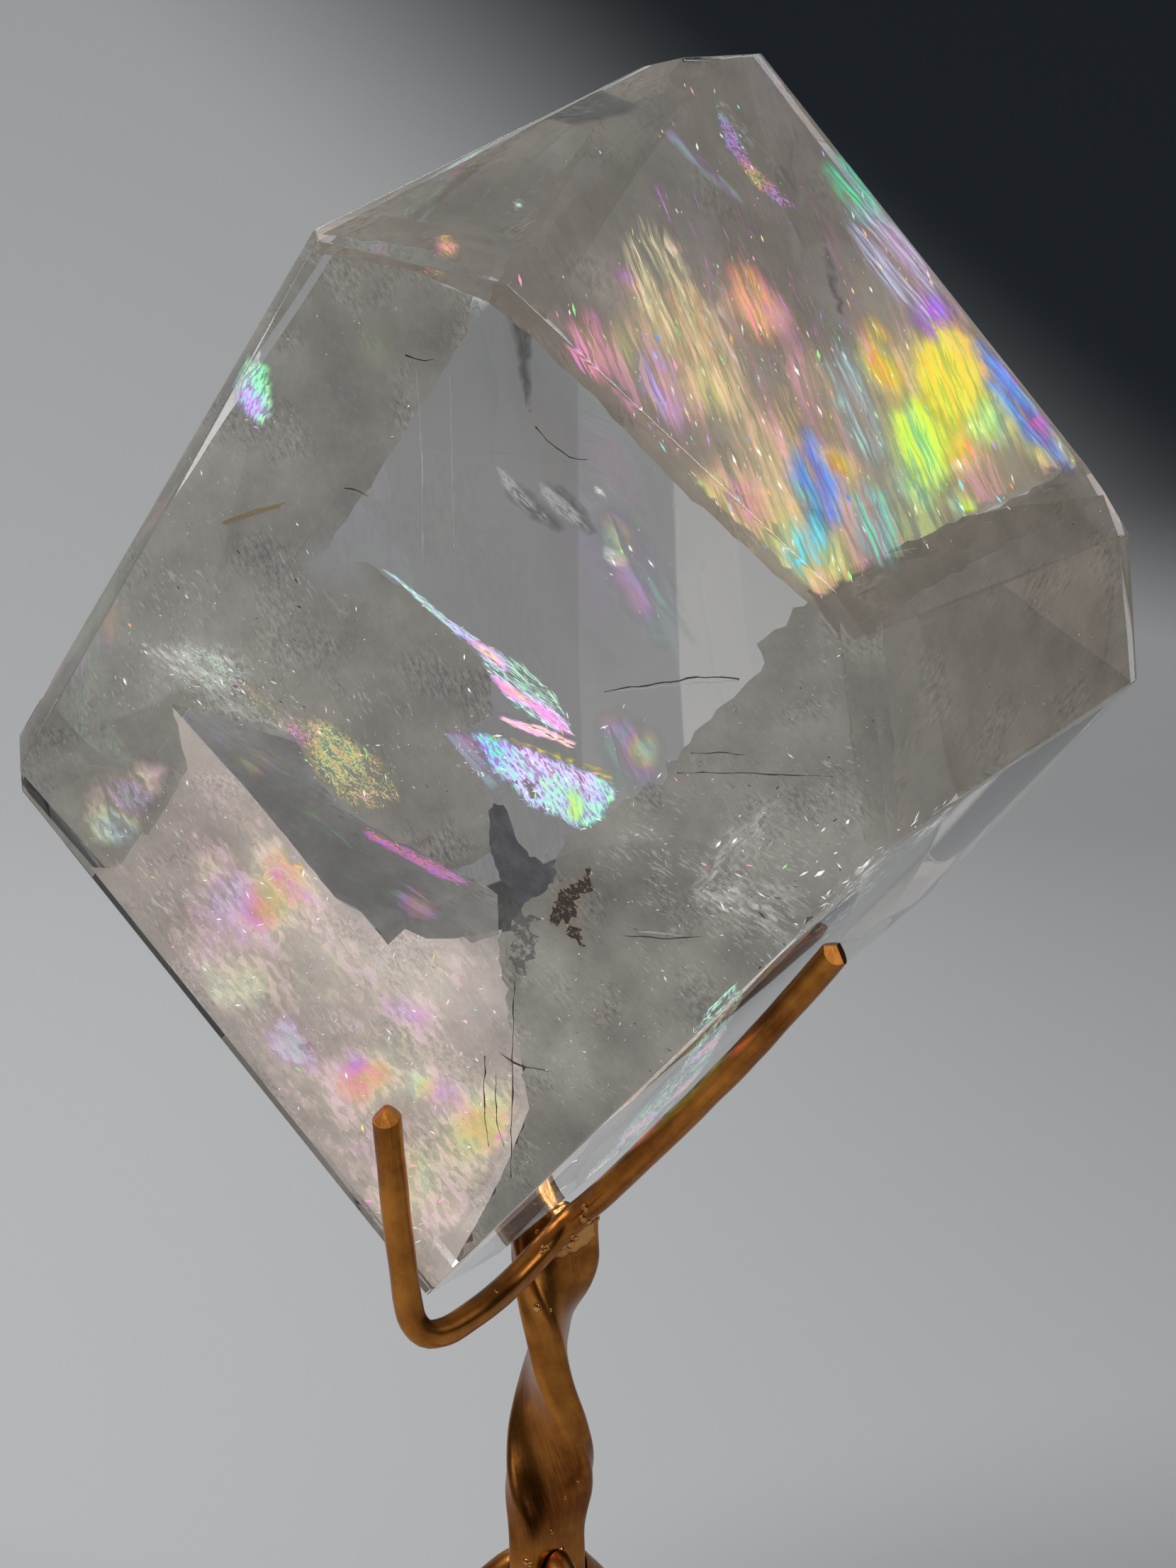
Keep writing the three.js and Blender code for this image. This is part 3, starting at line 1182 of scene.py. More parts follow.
def distance_to_rim(points: np.ndarray, rim: np.ndarray) -> np.ndarray:
    """How far each point lies from an outline, in its own units.

    Args:
        points: points, one to a row.
        rim: the outline's points in order.

    Returns:
        A distance for each point.
    """
    best = np.full(len(points), 1e9)
    for a, b in zip(rim, np.roll(rim, -1, axis=0)):
        run = b - a
        t = np.clip(((points - a) @ run) / max(run @ run, 1e-9), 0, 1)
        best = np.minimum(best, np.linalg.norm(points - (a + t[:, None] * run), axis=1))
    return best


def strew_tree() -> NodeTree:
    """Geometry nodes that strew thin rhombic flakes over a sheet.

    Returns:
        The tree, with inputs for density, size, tilt, spin, direction, seed and material.
    """
    tree = bpy.data.node_groups.new("strew_flakes", "GeometryNodeTree")
    kinds = {"Geometry": "Geometry", "Density": "Float", "Size": "Float", "Tilt": "Float", "Spin": "Float"}
    kinds |= {"Along": "Vector", "Seed": "Int", "Material": "Material"}
    for label, kind in kinds.items():
        tree.interface.new_socket(label, in_out="INPUT", socket_type=f"NodeSocket{kind}")
    tree.interface.new_socket("Geometry", in_out="OUTPUT", socket_type="NodeSocketGeometry")
    w = Wiring(tree)
    given, out = tree.nodes.new("NodeGroupInput").outputs, tree.nodes.new("NodeGroupOutput")
    tilt, spin, seed = given["Tilt"], given["Spin"], given["Seed"]
    random = "FunctionNodeRandomValue"
    glow = w.node("GeometryNodeInputNamedAttribute", {"data_type": "FLOAT"}, Name="glow")
    density = w.times(w.math("POWER", glow.outputs[0], GLOW_POWER), given["Density"])
    spread = w.node("GeometryNodeDistributePointsOnFaces", Mesh=given["Geometry"], Seed=seed, Density=density)
    chance = w.node(random, {"data_type": "FLOAT"}, Seed=seed)
    skewed = w.times_plus(w.math("POWER", chance.outputs[1], 3.0), 0.8, 0.2)
    length = w.times(skewed, given["Size"])
    slim = w.node(random, {"data_type": "FLOAT"}, Seed=w.plus(seed, 7.0))
    width = w.times(length, w.times_plus(slim.outputs[1], 0.24, 0.08))
    scale = w.node("ShaderNodeCombineXYZ", X=length, Y=width, Z=w.times(width, 0.12))
    aimed = w.node("FunctionNodeAlignRotationToVector", {"axis": "X", "pivot_axis": "Z"})
    w.give(aimed, Rotation=spread.outputs["Rotation"], Vector=given["Along"])
    flake = w.node("GeometryNodeMeshUVSphere", Segments=4, Rings=2, Radius=0.5)
    placed = w.node("GeometryNodeInstanceOnPoints", Points=spread.outputs["Points"], Instance=flake)
    w.give(placed, Rotation=aimed, Scale=scale)
    lean = w.node(random, {"data_type": "FLOAT_VECTOR"}, Seed=w.plus(seed, 3.0))
    less_tilt = w.times(tilt, -1.0)
    w.feed(lean.inputs[0], w.node("ShaderNodeCombineXYZ", X=less_tilt, Y=less_tilt, Z=w.times(spin, -1.0)))
    w.feed(lean.inputs[1], w.node("ShaderNodeCombineXYZ", X=tilt, Y=tilt, Z=spin))
    turn = w.node("FunctionNodeEulerToRotation", Euler=lean.outputs[0])
    turned = w.node("GeometryNodeRotateInstances", Instances=placed, Rotation=turn)
    real = w.node("GeometryNodeRealizeInstances", Geometry=turned)
    w.feed(out.inputs[0], w.node("GeometryNodeSetMaterial", Geometry=real, Material=given["Material"]))
    return tree


def run_tree(mesh: Mesh, tree: NodeTree, **values: object) -> Mesh:
    """Runs geometry nodes over a mesh.

    Args:
        mesh: what the tree works on.
        tree: the geometry node tree.
        values: its inputs by name.

    Returns:
        The tree's result as a plain mesh.
    """
    holder = bpy.data.objects.new("strewing", mesh)
    bpy.context.scene.collection.objects.link(holder)
    modifier = holder.modifiers.new("strewing", "NODES")
    modifier.node_group = tree
    for item in tree.interface.items_tree:
        if item.in_out == "INPUT" and item.name in values:
            modifier[item.identifier] = values[item.name]
    graph = bpy.context.evaluated_depsgraph_get()
    result = bpy.data.meshes.new_from_object(holder.evaluated_get(graph), depsgraph=graph)
    bpy.data.objects.remove(holder)
    return result


def joined(name: str, meshes: list[Mesh]) -> Mesh:
    """Joins meshes of one material into one.

    Args:
        name: the new mesh's name.
        meshes: what to join.

    Returns:
        The joined mesh.
    """
    shell = bmesh.new()
    for mesh in meshes:
        shell.from_mesh(mesh)
    bmesh.ops.recalc_face_normals(shell, faces=shell.faces)
    return mesh_from(shell, name)


@dataclass
class Crystal:
    """The clear block itself: flat polished faces that meet in narrow broken edges."""

    block: Block
    finish: CalciteFinish
    edge: float = 0.22
    edge_steps: int = 2
    sharpest_kept: float = 3.0

    def build(self) -> Object:
        """Makes the block and dresses it.

        Returns:
            The finished block.
        """
        thing = new_object("calcite_block", self.block.mesh.copy(), self.finish.material())
        bevel = thing.modifiers.new("edges", "BEVEL")
        bevel.width = self.edge * MM
        bevel.segments = self.edge_steps
        bevel.limit_method = "ANGLE"
        bevel.angle_limit = math.radians(self.sharpest_kept)
        bevel.harden_normals = True
        shade_smooth(thing.data)
        applied(thing)
        return finished(thing, "calcite", "calcite_crystal")


@dataclass(frozen=True)
class Hairline:
    """A fine curved crack seen edge-on: where it runs, how deep, how thick, and whether it is bright."""

    pixels: list[Pixel]
    depth: float
    width: float = 0.12
    hue: Hue = Hue.SMOKE


VIVID = FilmFinish(
    "film_vivid", glow=1.1, purity=1.7, pale=0.7, width=1.3, stretch=11, swing=150, fine_swing=70, low=0.0,
    high=0.95, patchy=0.8, feathery=0.5, crisp=0.45,
)
PATCH = FilmFinish(
    "film_patch", glow=1.1, purity=1.2, pale=0.5, width=0.8, stretch=14, swing=120, fine_swing=90, low=0.25,
    high=1.15, patchy=1.7, feathery=1.0, crisp=0.7, cover=0.85,
)
SOFT = FilmFinish("film_soft", glow=0.75, purity=0.8, pale=0.6, width=2.0, stretch=5, swing=380, cover=0.5)
PASTEL = FilmFinish(
    "film_pastel", glow=0.98, purity=1.1, pale=0.38, width=1.1, stretch=2.4, swing=190, fine_swing=80,
    low=0.05, high=0.8, patchy=1.2, feathery=0.55, crisp=0.45, cover=0.55,
)
STROKES = FilmFinish(
    "film_strokes", glow=0.95, purity=1.0, pale=0.75, width=0.3, stretch=14, swing=260, fine_swing=200,
    low=0.5, high=1.1, patchy=1.6, feathery=1.6, crisp=1.0, cover=0.8,
)
BRILLIANT = FilmFinish(
    "film_brilliant", glow=1.6, purity=0.95, pale=0.5, width=0.45, stretch=3.5, swing=150, fine_swing=200,
    high=0.6, crisp=1.0, feathery=1.4,
)
FAINT = FilmFinish(
    "film_faint", glow=0.3, purity=0.7, pale=0.6, width=4.0, stretch=2, swing=300, feathery=0.2, crisp=0.1,
    cover=0.3,
)
SPARKLE = FilmFinish(
    "film_sparkle", glow=1.0, purity=0.95, pale=0.75, width=0.24, stretch=2.4, swing=260, fine_swing=260,
    low=0.35, high=1.05, feathery=1.7, patchy=1.8, crisp=1.0, cover=0.7,
)
WHITE_SPARKLE = FilmFinish(
    "film_white_sparkle", glow=0.85, purity=0.3, pale=0.2, width=0.24, stretch=3.0, swing=260,
    fine_swing=260, low=0.4, high=1.15, feathery=1.7, patchy=1.8, crisp=1.0, cover=0.65,
)
BODY_VEIL = HazeFinish("veil_body", depth=0.6, grain=0.55, stretch=2.5)
WARM_VEIL = HazeFinish("veil_warm", body=(0.205, 0.185, 0.158), depth=0.45, grain=0.7)
PALE_VEIL = HazeFinish("veil_pale", body=(0.41, 0.36, 0.335), depth=0.55, grain=0.5, stretch=1.8, cover=0.95)
# Painted reflection: a dark veil for the dark surroundings that the block reflects inside itself.
DARK_REFLECTION_VEIL = HazeFinish(
    "veil_dark_reflection", body=(0.155, 0.15, 0.142), cover=0.85, low=0.0, high=0.3, depth=0.7, grain=0.6, stretch=4.0
)
WISP_VEIL = HazeFinish(
    "veil_wisp", body=(0.4, 0.4, 0.39), low=0.48, high=0.66, cover=0.6, grain=0.8, depth=1.2,
)
CLEAR_VEIL = HazeFinish("veil_clear", body=(0.19, 0.192, 0.185), cover=0.5, low=0.2, high=0.7)
# A dark veil, darker than the block around it; beside the crescents it is painted shade.
SMOKE = HazeFinish("veil_dark", body=(0.1, 0.1, 0.098), cover=0.85, low=0.0, high=0.3, depth=0.9, grain=0.7)
FEATHER = HazeFinish("feather", body=(0.6, 0.62, 0.63), shine=0.7, cover=0.8, grain=0.6, low=0.42, high=0.58)
HATCH = HatchFinish(
    "hatch", bright=(0.4, 0.4, 0.38), dark=(0.1, 0.1, 0.095), grain=0.42, cover=0.5, share=0.0,
)
PALE_HATCH = HatchFinish(
    "hatch_pale", bright=(0.66, 0.63, 0.6), dark=(0.2, 0.18, 0.16), grain=0.5, cover=0.45,
)
SLATE = MineralFinish("slate_film", light=(0.19, 0.19, 0.225), dark=(0.11, 0.11, 0.13))
DENDRITE = MineralFinish(
    "brown_dendrite", light=(0.07, 0.026, 0.009), dark=(0.012, 0.005, 0.003), grain=0.4, holes=0.42,
)
OCHRE = MineralFinish(
    "ochre_stain", light=(0.5, 0.33, 0.12), dark=(0.3, 0.17, 0.05), cover=0.9, grain=0.5, holes=0.42,
)
MOTTLE = MineralFinish(
    "slate_mottle", light=(0.16, 0.165, 0.18), dark=(0.09, 0.09, 0.1), cover=0.75, grain=0.9, holes=0.46,
)
BROWN_MIST = HazeFinish(
    "veil_brown", body=(0.2, 0.15, 0.1), cover=0.55, low=0.3, high=0.6, depth=0.8, grain=0.6,
)

TOP_FACET = (1100, 440)  # a pixel of the upper right facet
ALONG_TOP = (0.37, 0.93)  # direction of that facet's streaks in the picture
ALONG_RIM = (0.62, 0.78)  # direction of its right rim
LENS_SIDES = 10
LENS_DEPTH = 1.3  # millimetres under the facet
RAINBOW_HUES = {
    Hue.WHITE: 0.4, Hue.ROSE: 0.15, Hue.ORANGE: 0.14, Hue.GOLD: 0.12, Hue.GREEN: 0.1, Hue.CYAN: 0.1,
    Hue.BLUE: 0.08, Hue.VIOLET: 0.08,
}
PASTEL_HUES = {**RAINBOW_HUES, Hue.WHITE: 1.2, Hue.SILVER: 0.6}
PALE_HUES = {
    Hue.WHITE: 0.5, Hue.SILVER: 0.7, Hue.SMOKE: 0.25, Hue.ROSE: 0.03, Hue.GREEN: 0.02, Hue.ORANGE: 0.03,
}


def lens(
    name: str, at: Pixel, half: Pixel, film: float, way: Pixel = ALONG_TOP, glow: float = 0.95
) -> Sheet:
    """A small lens of one colour over the rainbow under the top facet.

    Args:
        name: the end of the sheet's name.
        at: its middle, in pixels.
        half: half its length and half its width, in pixels.
        film: the thickness of its film.
        way: the direction of its length.
        glow: how strongly it shines.

    Returns:
        The sheet.
    """
    ring = []
    for k in range(LENS_SIDES):
        turn = 2 * math.pi * k / LENS_SIDES
        u, v = half[0] * math.cos(turn), half[1] * math.sin(turn)
        ring.append((at[0] + way[0] * u - way[1] * v, at[1] + way[1] * u + way[0] * v))
    return Sheet(
        f"lens_{name}", PATCH, ring, [(*ring[k], LENS_DEPTH) for k in (0, 3, 7)], streak=(*ring[5], *ring[0]),
        seen_at=TOP_FACET, film=film, glow=glow, feather=2.2, cell=0.7, ragged=1.2,
    )


SHEETS = [
    # ---- milky body, behind everything else; its glow spots paint where it is lit brighter or darker
    Sheet(
        "body_top", WARM_VEIL,
        [(716, 402), (790, 270), (860, 165), (920, 100), (1000, 60), (1090, 50), (1220, 205), (1360, 370),
         (1470, 525), (1560, 650), (1400, 715), (1274, 790), (1178, 836), (1090, 755), (990, 665),
         (880, 552), (790, 460)],
        [(730, 410, 5), (1030, 130, 4), (1480, 640, 5)],
        streak=(1000, 170, 1195, 660), seen_at=TOP_FACET, glow=0.45, cell=2.2,
        spots=[(900, 300, 8, 0, 0.36), (1100, 200, 8, 0, 0.34), (960, 455, 6, 0, 1.15), (1060, 600, 6, 0, 1),
               (1180, 680, 7, 0, 1.3), (1340, 600, 8, 0, 1.2), (1280, 430, 4, 0, 0.9),
               (1140, 420, 4, 0, 0.45), (1220, 300, 3, 0, 0.7), (800, 300, 5, 0, 0.45),
               (1000, 140, 5, 0, 0.42)],
    ),
    Sheet(
        "body_upper_left", WARM_VEIL,
        [(438, 324), (440, 290), (560, 235), (700, 175), (820, 115), (905, 70), (945, 80), (930, 125),
         (860, 165), (790, 275), (716, 400), (590, 345)],
        [(480, 330, 4), (880, 130, 3), (700, 380, 5)],
        streak=(460, 320, 880, 130), glow=0.5, cell=2.2,
        spots=[(500, 320, 5, 0, 0.6), (700, 300, 6, 0, 0.42)],
        flakes=Flakes(25, 0.7, PALE_HUES, tilt=80),
    ),
    Sheet(
        "body_left", BODY_VEIL,
        [(442, 323), (560, 350), (672, 392), (664, 480), (560, 640), (440, 812), (523, 797), (620, 872),
         (690, 950), (700, 1010), (660, 1030), (690, 1110), (700, 1200), (640, 1230), (590, 1200),
         (530, 1168), (450, 1098), (420, 1045), (330, 1016), (247, 993), (268, 1085), (180, 1225),
         (90, 1200), (0, 1090), (0, 1026), (95, 890), (187, 765), (257, 624), (300, 550), (425, 320)],
        [(450, 360, 9), (60, 1060, 4), (660, 1100, 13)],
        streak=(350, 640, 520, 1000), seen_at=(420, 800), glow=0.5, cell=1.8, ragged=0.35,
        spots=[(500, 450, 7, 0, 0.45), (380, 720, 6, 0, 0.4), (120, 980, 5, 0, 0.5), (300, 950, 3, 0, 0.75),
               (600, 1000, 5, 0, 0.42), (470, 950, 4, 0, 0.55), (560, 880, 4, 0, 0.5),
               (160, 1170, 4, 0, 0.6)],
        fades=[(485, 800, 2.2), (450, 800, 1.5)],
        flakes=Flakes(45, 0.8, PALE_HUES, tilt=80),
    ),
    Sheet(
        "body_lower_left", PALE_VEIL,
        [(262, 1082), (247, 993), (357, 1118), (474, 1264), (510, 1284), (546, 1330), (570, 1308),
         (600, 1322), (640, 1322), (704, 1310), (718, 1420), (740, 1560), (700, 1660), (600, 1850),
         (480, 1720), (350, 1550), (220, 1380), (110, 1240), (173, 1218)],
        [(270, 1090, 10), (700, 1340, 16), (600, 1780, 3)],
        streak=(290, 1220, 620, 1660), seen_at=(450, 1400), glow=0.66, cell=1.8, ragged=0.12,
        spots=[(600, 1370, 4, 0, 0.95), (420, 1290, 5, 0, 0.85), (280, 1180, 4, 0, 0.4),
               (560, 1640, 4, 0, 0.6), (220, 1270, 4, 0, 0.4), (540, 1470, 4, 0, 0.8)],
        flakes=Flakes(60, 0.8, PASTEL_HUES, tilt=80),
    ),
    Sheet(
        "body_edge_left", PALE_VEIL,
        [(118, 1222), (160, 1224), (250, 1345), (460, 1625), (620, 1835), (598, 1850), (420, 1645),
         (205, 1362)],
        [(222, 1351, 1.2), (425, 1620, 1.2), (340, 1500, 1.2)],
        seen_at=(222, 1351), glow=0.4, cell=2.4, ragged=0.1,
    ),
    Sheet(
        "body_lower_right", BODY_VEIL,
        [(1160, 848), (1117, 863), (1107, 889), (1066, 914), (1077, 940), (1061, 960), (1031, 991),
         (990, 1027), (959, 1062), (939, 1098), (867, 1144), (815, 1165), (785, 1205), (762, 1245),
         (728, 1290), (698, 1325), (712, 1420), (738, 1560), (698, 1650), (620, 1800), (760, 1690),
         (900, 1550), (1060, 1380), (1253, 1195), (1223, 895)],
        [(1150, 870, 6), (740, 1320, 13), (1220, 1180, 4)],
        streak=(1000, 1180, 1130, 1330), seen_at=(1000, 1200), glow=0.47, cell=1.8, ragged=0.9,
        spots=[(1150, 950, 6, 0, 0.42), (900, 1200, 4, 0, 0.6), (880, 1270, 4, 0, 0.38),
               (1050, 1180, 5, 0, 0.5), (900, 1400, 5, 0, 0.62), (780, 1450, 5, 0, 0.85),
               (1150, 1250, 4, 0, 0.55)],
        flakes=Flakes(75, 0.7, PALE_HUES, tilt=80),
    ),
    Sheet(
        "body_right", WARM_VEIL,
        [(1223, 895), (1178, 836), (1330, 765), (1550, 640), (1585, 690), (1625, 750), (1630, 965),
         (1500, 1030), (1400, 1080), (1253, 1195)],
        [(1230, 900, 6), (1570, 720, 3), (1260, 1180, 5)],
        streak=(1540, 700, 1300, 1100), seen_at=(1400, 930), glow=0.45, cell=2,
        spots=[(1300, 1050, 6, 0, 0.38), (1560, 850, 5, 0, 0.5)],
        flakes=Flakes(35, 0.7, PALE_HUES, tilt=80),
    ),
    Sheet(
        "body_right_upper", WARM_VEIL,
        [(1178, 836), (1240, 800), (1400, 722), (1560, 640), (1585, 690), (1450, 755), (1300, 830),
         (1223, 892)],
        [(1200, 840, 3), (1540, 670, 2), (1230, 880, 3)],
        seen_at=(1400, 750), glow=0.5, cell=2,
    ),
    Sheet(
        "clear_left", CLEAR_VEIL,
        [(560, 640), (700, 640), (800, 900), (810, 1040), (700, 1010), (690, 950), (620, 872), (530, 800),
         (440, 810)],
        [(600, 660, 16), (800, 1020, 18), (460, 800, 14)],
        streak=(600, 660, 640, 900), seen_at=(640, 800), glow=0.55, feather=8, cell=2,
    ),
    Sheet(
        "clear_low", CLEAR_VEIL,
        [(620, 1120), (660, 1030), (700, 1010), (810, 1040), (818, 1180), (806, 1215), (790, 1262),
         (745, 1305), (700, 1345), (640, 1350), (565, 1345), (530, 1310), (520, 1240)],
        [(690, 1040, 15), (800, 1060, 15), (720, 1300, 15)],
        streak=(690, 1040, 740, 1300), seen_at=(740, 1150), glow=0.5, cell=2,
    ),
    # ---- fine strokes
    Sheet(
        "hatch_left", HATCH,
        [(300, 640), (400, 700), (500, 800), (640, 900), (690, 980), (640, 1110), (560, 1140), (420, 1050),
         (250, 985), (150, 1080), (60, 1060), (70, 1000), (210, 800)],
        [(310, 660, 5), (660, 1020, 8), (80, 1050, 2.5)],
        streak=(230, 830, 330, 1000), seen_at=(420, 900), glow=0.5, feather=2, cell=1.6,
        spots=[(300, 940, 4, 0, 0.8), (250, 950, 3, 0, 0.85), (560, 900, 3, 0, 0.3)],
        flakes=Flakes(50, 0.9, PALE_HUES, tilt=60, spin=30),
    ),
    Sheet(
        "hatch_low", PALE_HATCH,
        [(262, 1082), (400, 1180), (520, 1310), (690, 1335), (735, 1560), (610, 1790), (500, 1680),
         (150, 1220)],
        [(280, 1100, 6), (700, 1350, 8), (600, 1740, 2.5)],
        streak=(300, 1200, 460, 1400), seen_at=(450, 1400), glow=0.45, feather=1.5, cell=1.6,
        spots=[(600, 1370, 4, 0, 0.7), (640, 1480, 4, 0, 0.3)],
        flakes=Flakes(40, 0.9, PASTEL_HUES, tilt=60, spin=60),
    ),
    Sheet(
        "hatch_right", HATCH,
        [(1160, 880), (1000, 1030), (880, 1150), (760, 1290), (720, 1400), (740, 1560), (700, 1700),
         (900, 1530), (1060, 1370), (1240, 1190), (1215, 900)],
        [(1150, 900, 4), (750, 1350, 7), (1220, 1170, 2.5)],
        streak=(950, 1220, 1110, 1330), seen_at=(1000, 1200), glow=0.45, feather=1.5, cell=1.6,
        spots=[(1100, 1280, 5, 0, 0.75), (900, 1200, 4, 0, 0.7), (1000, 1000, 5, 0, 0.3)],
        flakes=Flakes(60, 0.8, PALE_HUES, tilt=60, spin=40),
    ),
    # ---- films of colour, painted as glow in place of the light that the cracks reflect
    Sheet(
        "top_rainbow", VIVID,
        [(719, 406), (790, 275), (843, 195), (933, 128), (1010, 95), (1070, 80), (1200, 220), (1330, 380),
         (1440, 530), (1530, 652), (1400, 712), (1274, 787), (1200, 822), (1165, 838), (1100, 775),
         (990, 675), (880, 560), (790, 465)],
        [(740, 410, 1.8), (1040, 110, 1.2), (1480, 640, 2)],
        streak=(1000, 170, 1195, 660), seen_at=TOP_FACET, film=470, glow=0.36, feather=0.3, cell=0.95,
        spots=[(1341, 530, 3.4, 440, 1), (1299, 625, 3.2, 406, 1), (1330, 590, 2.6, 424, 1),
               (1380, 590, 2.6, 404, 0.95), (1362, 640, 1.6, 452, 0.95), (1245, 520, 2.4, 460, 0.95),
               (1290, 690, 1.8, 402, 0.9), (1430, 560, 3, 420, 0.9), (1475, 630, 2, 420, 0.9),
               (1262, 349, 3, 490, 0.6), (1215, 285, 2.4, 480, 0.55), (1320, 440, 3, 480, 0.62),
               (1150, 680, 3.4, 440, 0.85), (1145, 770, 3, 420, 0.9), (1182, 655, 1.5, 452, 0.95),
               (1055, 700, 2.6, 470, 0.85), (1000, 685, 1.2, 400, 0.8), (1062, 424, 2.6, 470, 0.85),
               (965, 455, 3, 468, 0.85), (920, 425, 2.8, 448, 0.62), (900, 490, 2.8, 462, 0.68),
               (828, 487, 2, 480, 0.7), (940, 552, 2.2, 474, 0.8), (1010, 545, 2.6, 464, 0.85),
               (884, 390, 1.2, 590, 0.95), (1210, 580, 3.2, 480, 0.6), (1160, 540, 2.6, 470, 0.6),
               (1240, 740, 3.4, 470, 0.7), (1300, 745, 2.2, 430, 0.75), (1400, 680, 2.6, 470, 0.6),
               (1362, 716, 1.3, 402, 0.95), (1080, 620, 2.4, 470, 0.75), (900, 260, 8, 480, 0),
               (1010, 190, 6, 480, 0.05), (1120, 190, 7, 480, 0), (800, 340, 6, 480, 0),
               (1060, 320, 5, 475, 0.14), (960, 320, 4, 475, 0.1), (1150, 400, 3, 480, 0.14)],
        flakes=Flakes(80, 1.7, RAINBOW_HUES, tilt=20, spin=8),
    ),
    lens("deep_blue", (1150, 676), (92, 46), 304, glow=1.1),
    lens("cyan", (1140, 765), (60, 50), 345),
    lens("rim", (1432, 568), (140, 34), 304, ALONG_RIM, 1.1),
    lens("rim_pink", (1420, 528), (48, 24), 515, ALONG_RIM, 0.9),
    lens("rim_pink_low", (1464, 600), (48, 24), 512, ALONG_RIM, 0.9),
    lens("violet", (1315, 446), (52, 40), 562, ALONG_RIM),
    lens("lilac_rim", (1265, 372), (130, 48), 572, ALONG_RIM, 0.74),
    lens("mint", (1209, 270), (80, 38), 622, ALONG_RIM, 0.9),
    lens("green", (1380, 588), (60, 40), 402, glow=0.9),
    lens("yellow", (1340, 525), (90, 66), 441, glow=1.05),
    lens("yellow_green", (1300, 628), (90, 50), 414, glow=1),
    lens("amber", (1248, 506), (84, 30), 458),
    lens("red", (1064, 424), (84, 40), 474, glow=0.9),
    lens("red_low", (1112, 590), (84, 28), 464, glow=0.85),
    lens("rose", (832, 489), (76, 40), 498, glow=0.85),
    lens("violet_low", (936, 548), (90, 34), 560, glow=0.85),
    lens("rose_foot", (1052, 700), (58, 32), 510, glow=0.85),
    lens("orange", (1184, 640), (90, 22), 456),
    lens("orange_left", (975, 450), (90, 40), 468, glow=0.85),
    lens("green_low", (1300, 705), (60, 26), 402, glow=0.9),
    lens("upper_one", (1050, 330), (100, 26), 466, glow=0.5),
    lens("upper_two", (975, 300), (100, 26), 600, glow=0.5),
    lens("ice_low", (1235, 738), (84, 48), 608, glow=0.88),
    lens("ice_mid", (1208, 575), (120, 42), 598, glow=0.78),
    lens("mint_low", (1140, 700), (70, 24), 628, glow=0.85),
    lens("cream", (935, 405), (120, 62), 438, glow=0.69),
    lens("cream_low", (1010, 500), (120, 50), 442, glow=0.69),
    Sheet(
        "upper_strokes", STROKES,
        [(830, 330), (900, 250), (1000, 190), (1060, 190), (1160, 330), (1260, 470), (1330, 560),
         (1180, 600), (980, 560), (860, 440)],
        [(850, 350, 1.5), (1060, 210, 1.5), (1300, 550, 1.5)],
        streak=(1000, 170, 1195, 660), seen_at=TOP_FACET, film=462, glow=0.3, feather=2.5, cell=1.2,
        spots=[(960, 330, 5, 455, 0.4), (1060, 400, 5, 466, 0.55), (1130, 330, 4, 460, 0.32)],
        flakes=Flakes(25, 1.2, RAINBOW_HUES, tilt=20, spin=8),
    ),
    Sheet(
        "top_feather", SPARKLE,
        [(1008, 127), (1022, 150), (1072, 235), (1148, 308), (1105, 297), (1062, 262), (1030, 213),
         (1012, 172)],
        [(1012, 130, 3), (1145, 300, 3.4), (1060, 250, 4)],
        film=560, glow=0.7, feather=0.5, cell=0.7,
        spots=[(1025, 190, 1.8, 545, 0.95), (1064, 250, 1.5, 410, 0.9), (1120, 288, 1.5, 500, 0.7)],
        flakes=Flakes(60, 0.8, PASTEL_HUES, tilt=20, spin=10),
    ),
    Sheet(
        "top_wedge", WISP_VEIL,
        [(1008, 127), (1040, 160), (1090, 222), (1148, 300), (1110, 290), (1060, 250), (1026, 190)],
        [(1012, 130, 2.6), (1145, 300, 3), (1060, 230, 3.6)],
        glow=0.85, feather=0.8, cell=0.9,
    ),
    Sheet(
        "top_feather_two", SOFT,
        [(925, 165), (960, 188), (1045, 270), (1060, 300), (1040, 290), (990, 250), (940, 202)],
        [(930, 170, 3), (1050, 290, 3.4), (990, 240, 4)],
        film=560, glow=0.7, feather=0.7, cell=0.9,
    ),
    Sheet(
        "left_glint", BRILLIANT,
        [(350, 498), (385, 512), (393, 560), (390, 600), (375, 608), (345, 590), (328, 566), (332, 545)],
        [(340, 560, 2), (385, 520, 2.6), (385, 600, 3)],
        streak=(385, 505, 335, 590), film=608, glow=0.75, feather=1, cell=0.9,
        spots=[(345, 570, 1.2, 560, 0.9), (380, 530, 1.3, 640, 0.9)],
        flakes=Flakes(90, 1, RAINBOW_HUES),
    ),
    Sheet(
        "orange_glint", BRILLIANT,
        [(603, 330), (636, 324), (655, 345), (645, 370), (615, 365)],
        [(610, 335, 3), (650, 345, 3.4), (620, 362, 3.4)],
        streak=(615, 325, 640, 370), film=466, glow=0.95, feather=1.4, cell=0.9,
        flakes=Flakes(60, 1, {Hue.ORANGE: 1, Hue.WHITE: 0.3}),
    ),
    Sheet(
        "cyan_glint", BRILLIANT,
        [(718, 280), (738, 278), (742, 292), (724, 298)],
        [(720, 282, 3), (740, 280, 3.2), (726, 296, 3.2)],
        streak=(718, 280, 740, 294), film=350, glow=0.5, feather=0.6, cell=0.6,
        flakes=Flakes(120, 0.9, {Hue.CYAN: 1, Hue.WHITE: 0.6, Hue.ORANGE: 0.2}),
    ),
    Sheet(
        "faint_green", FAINT,
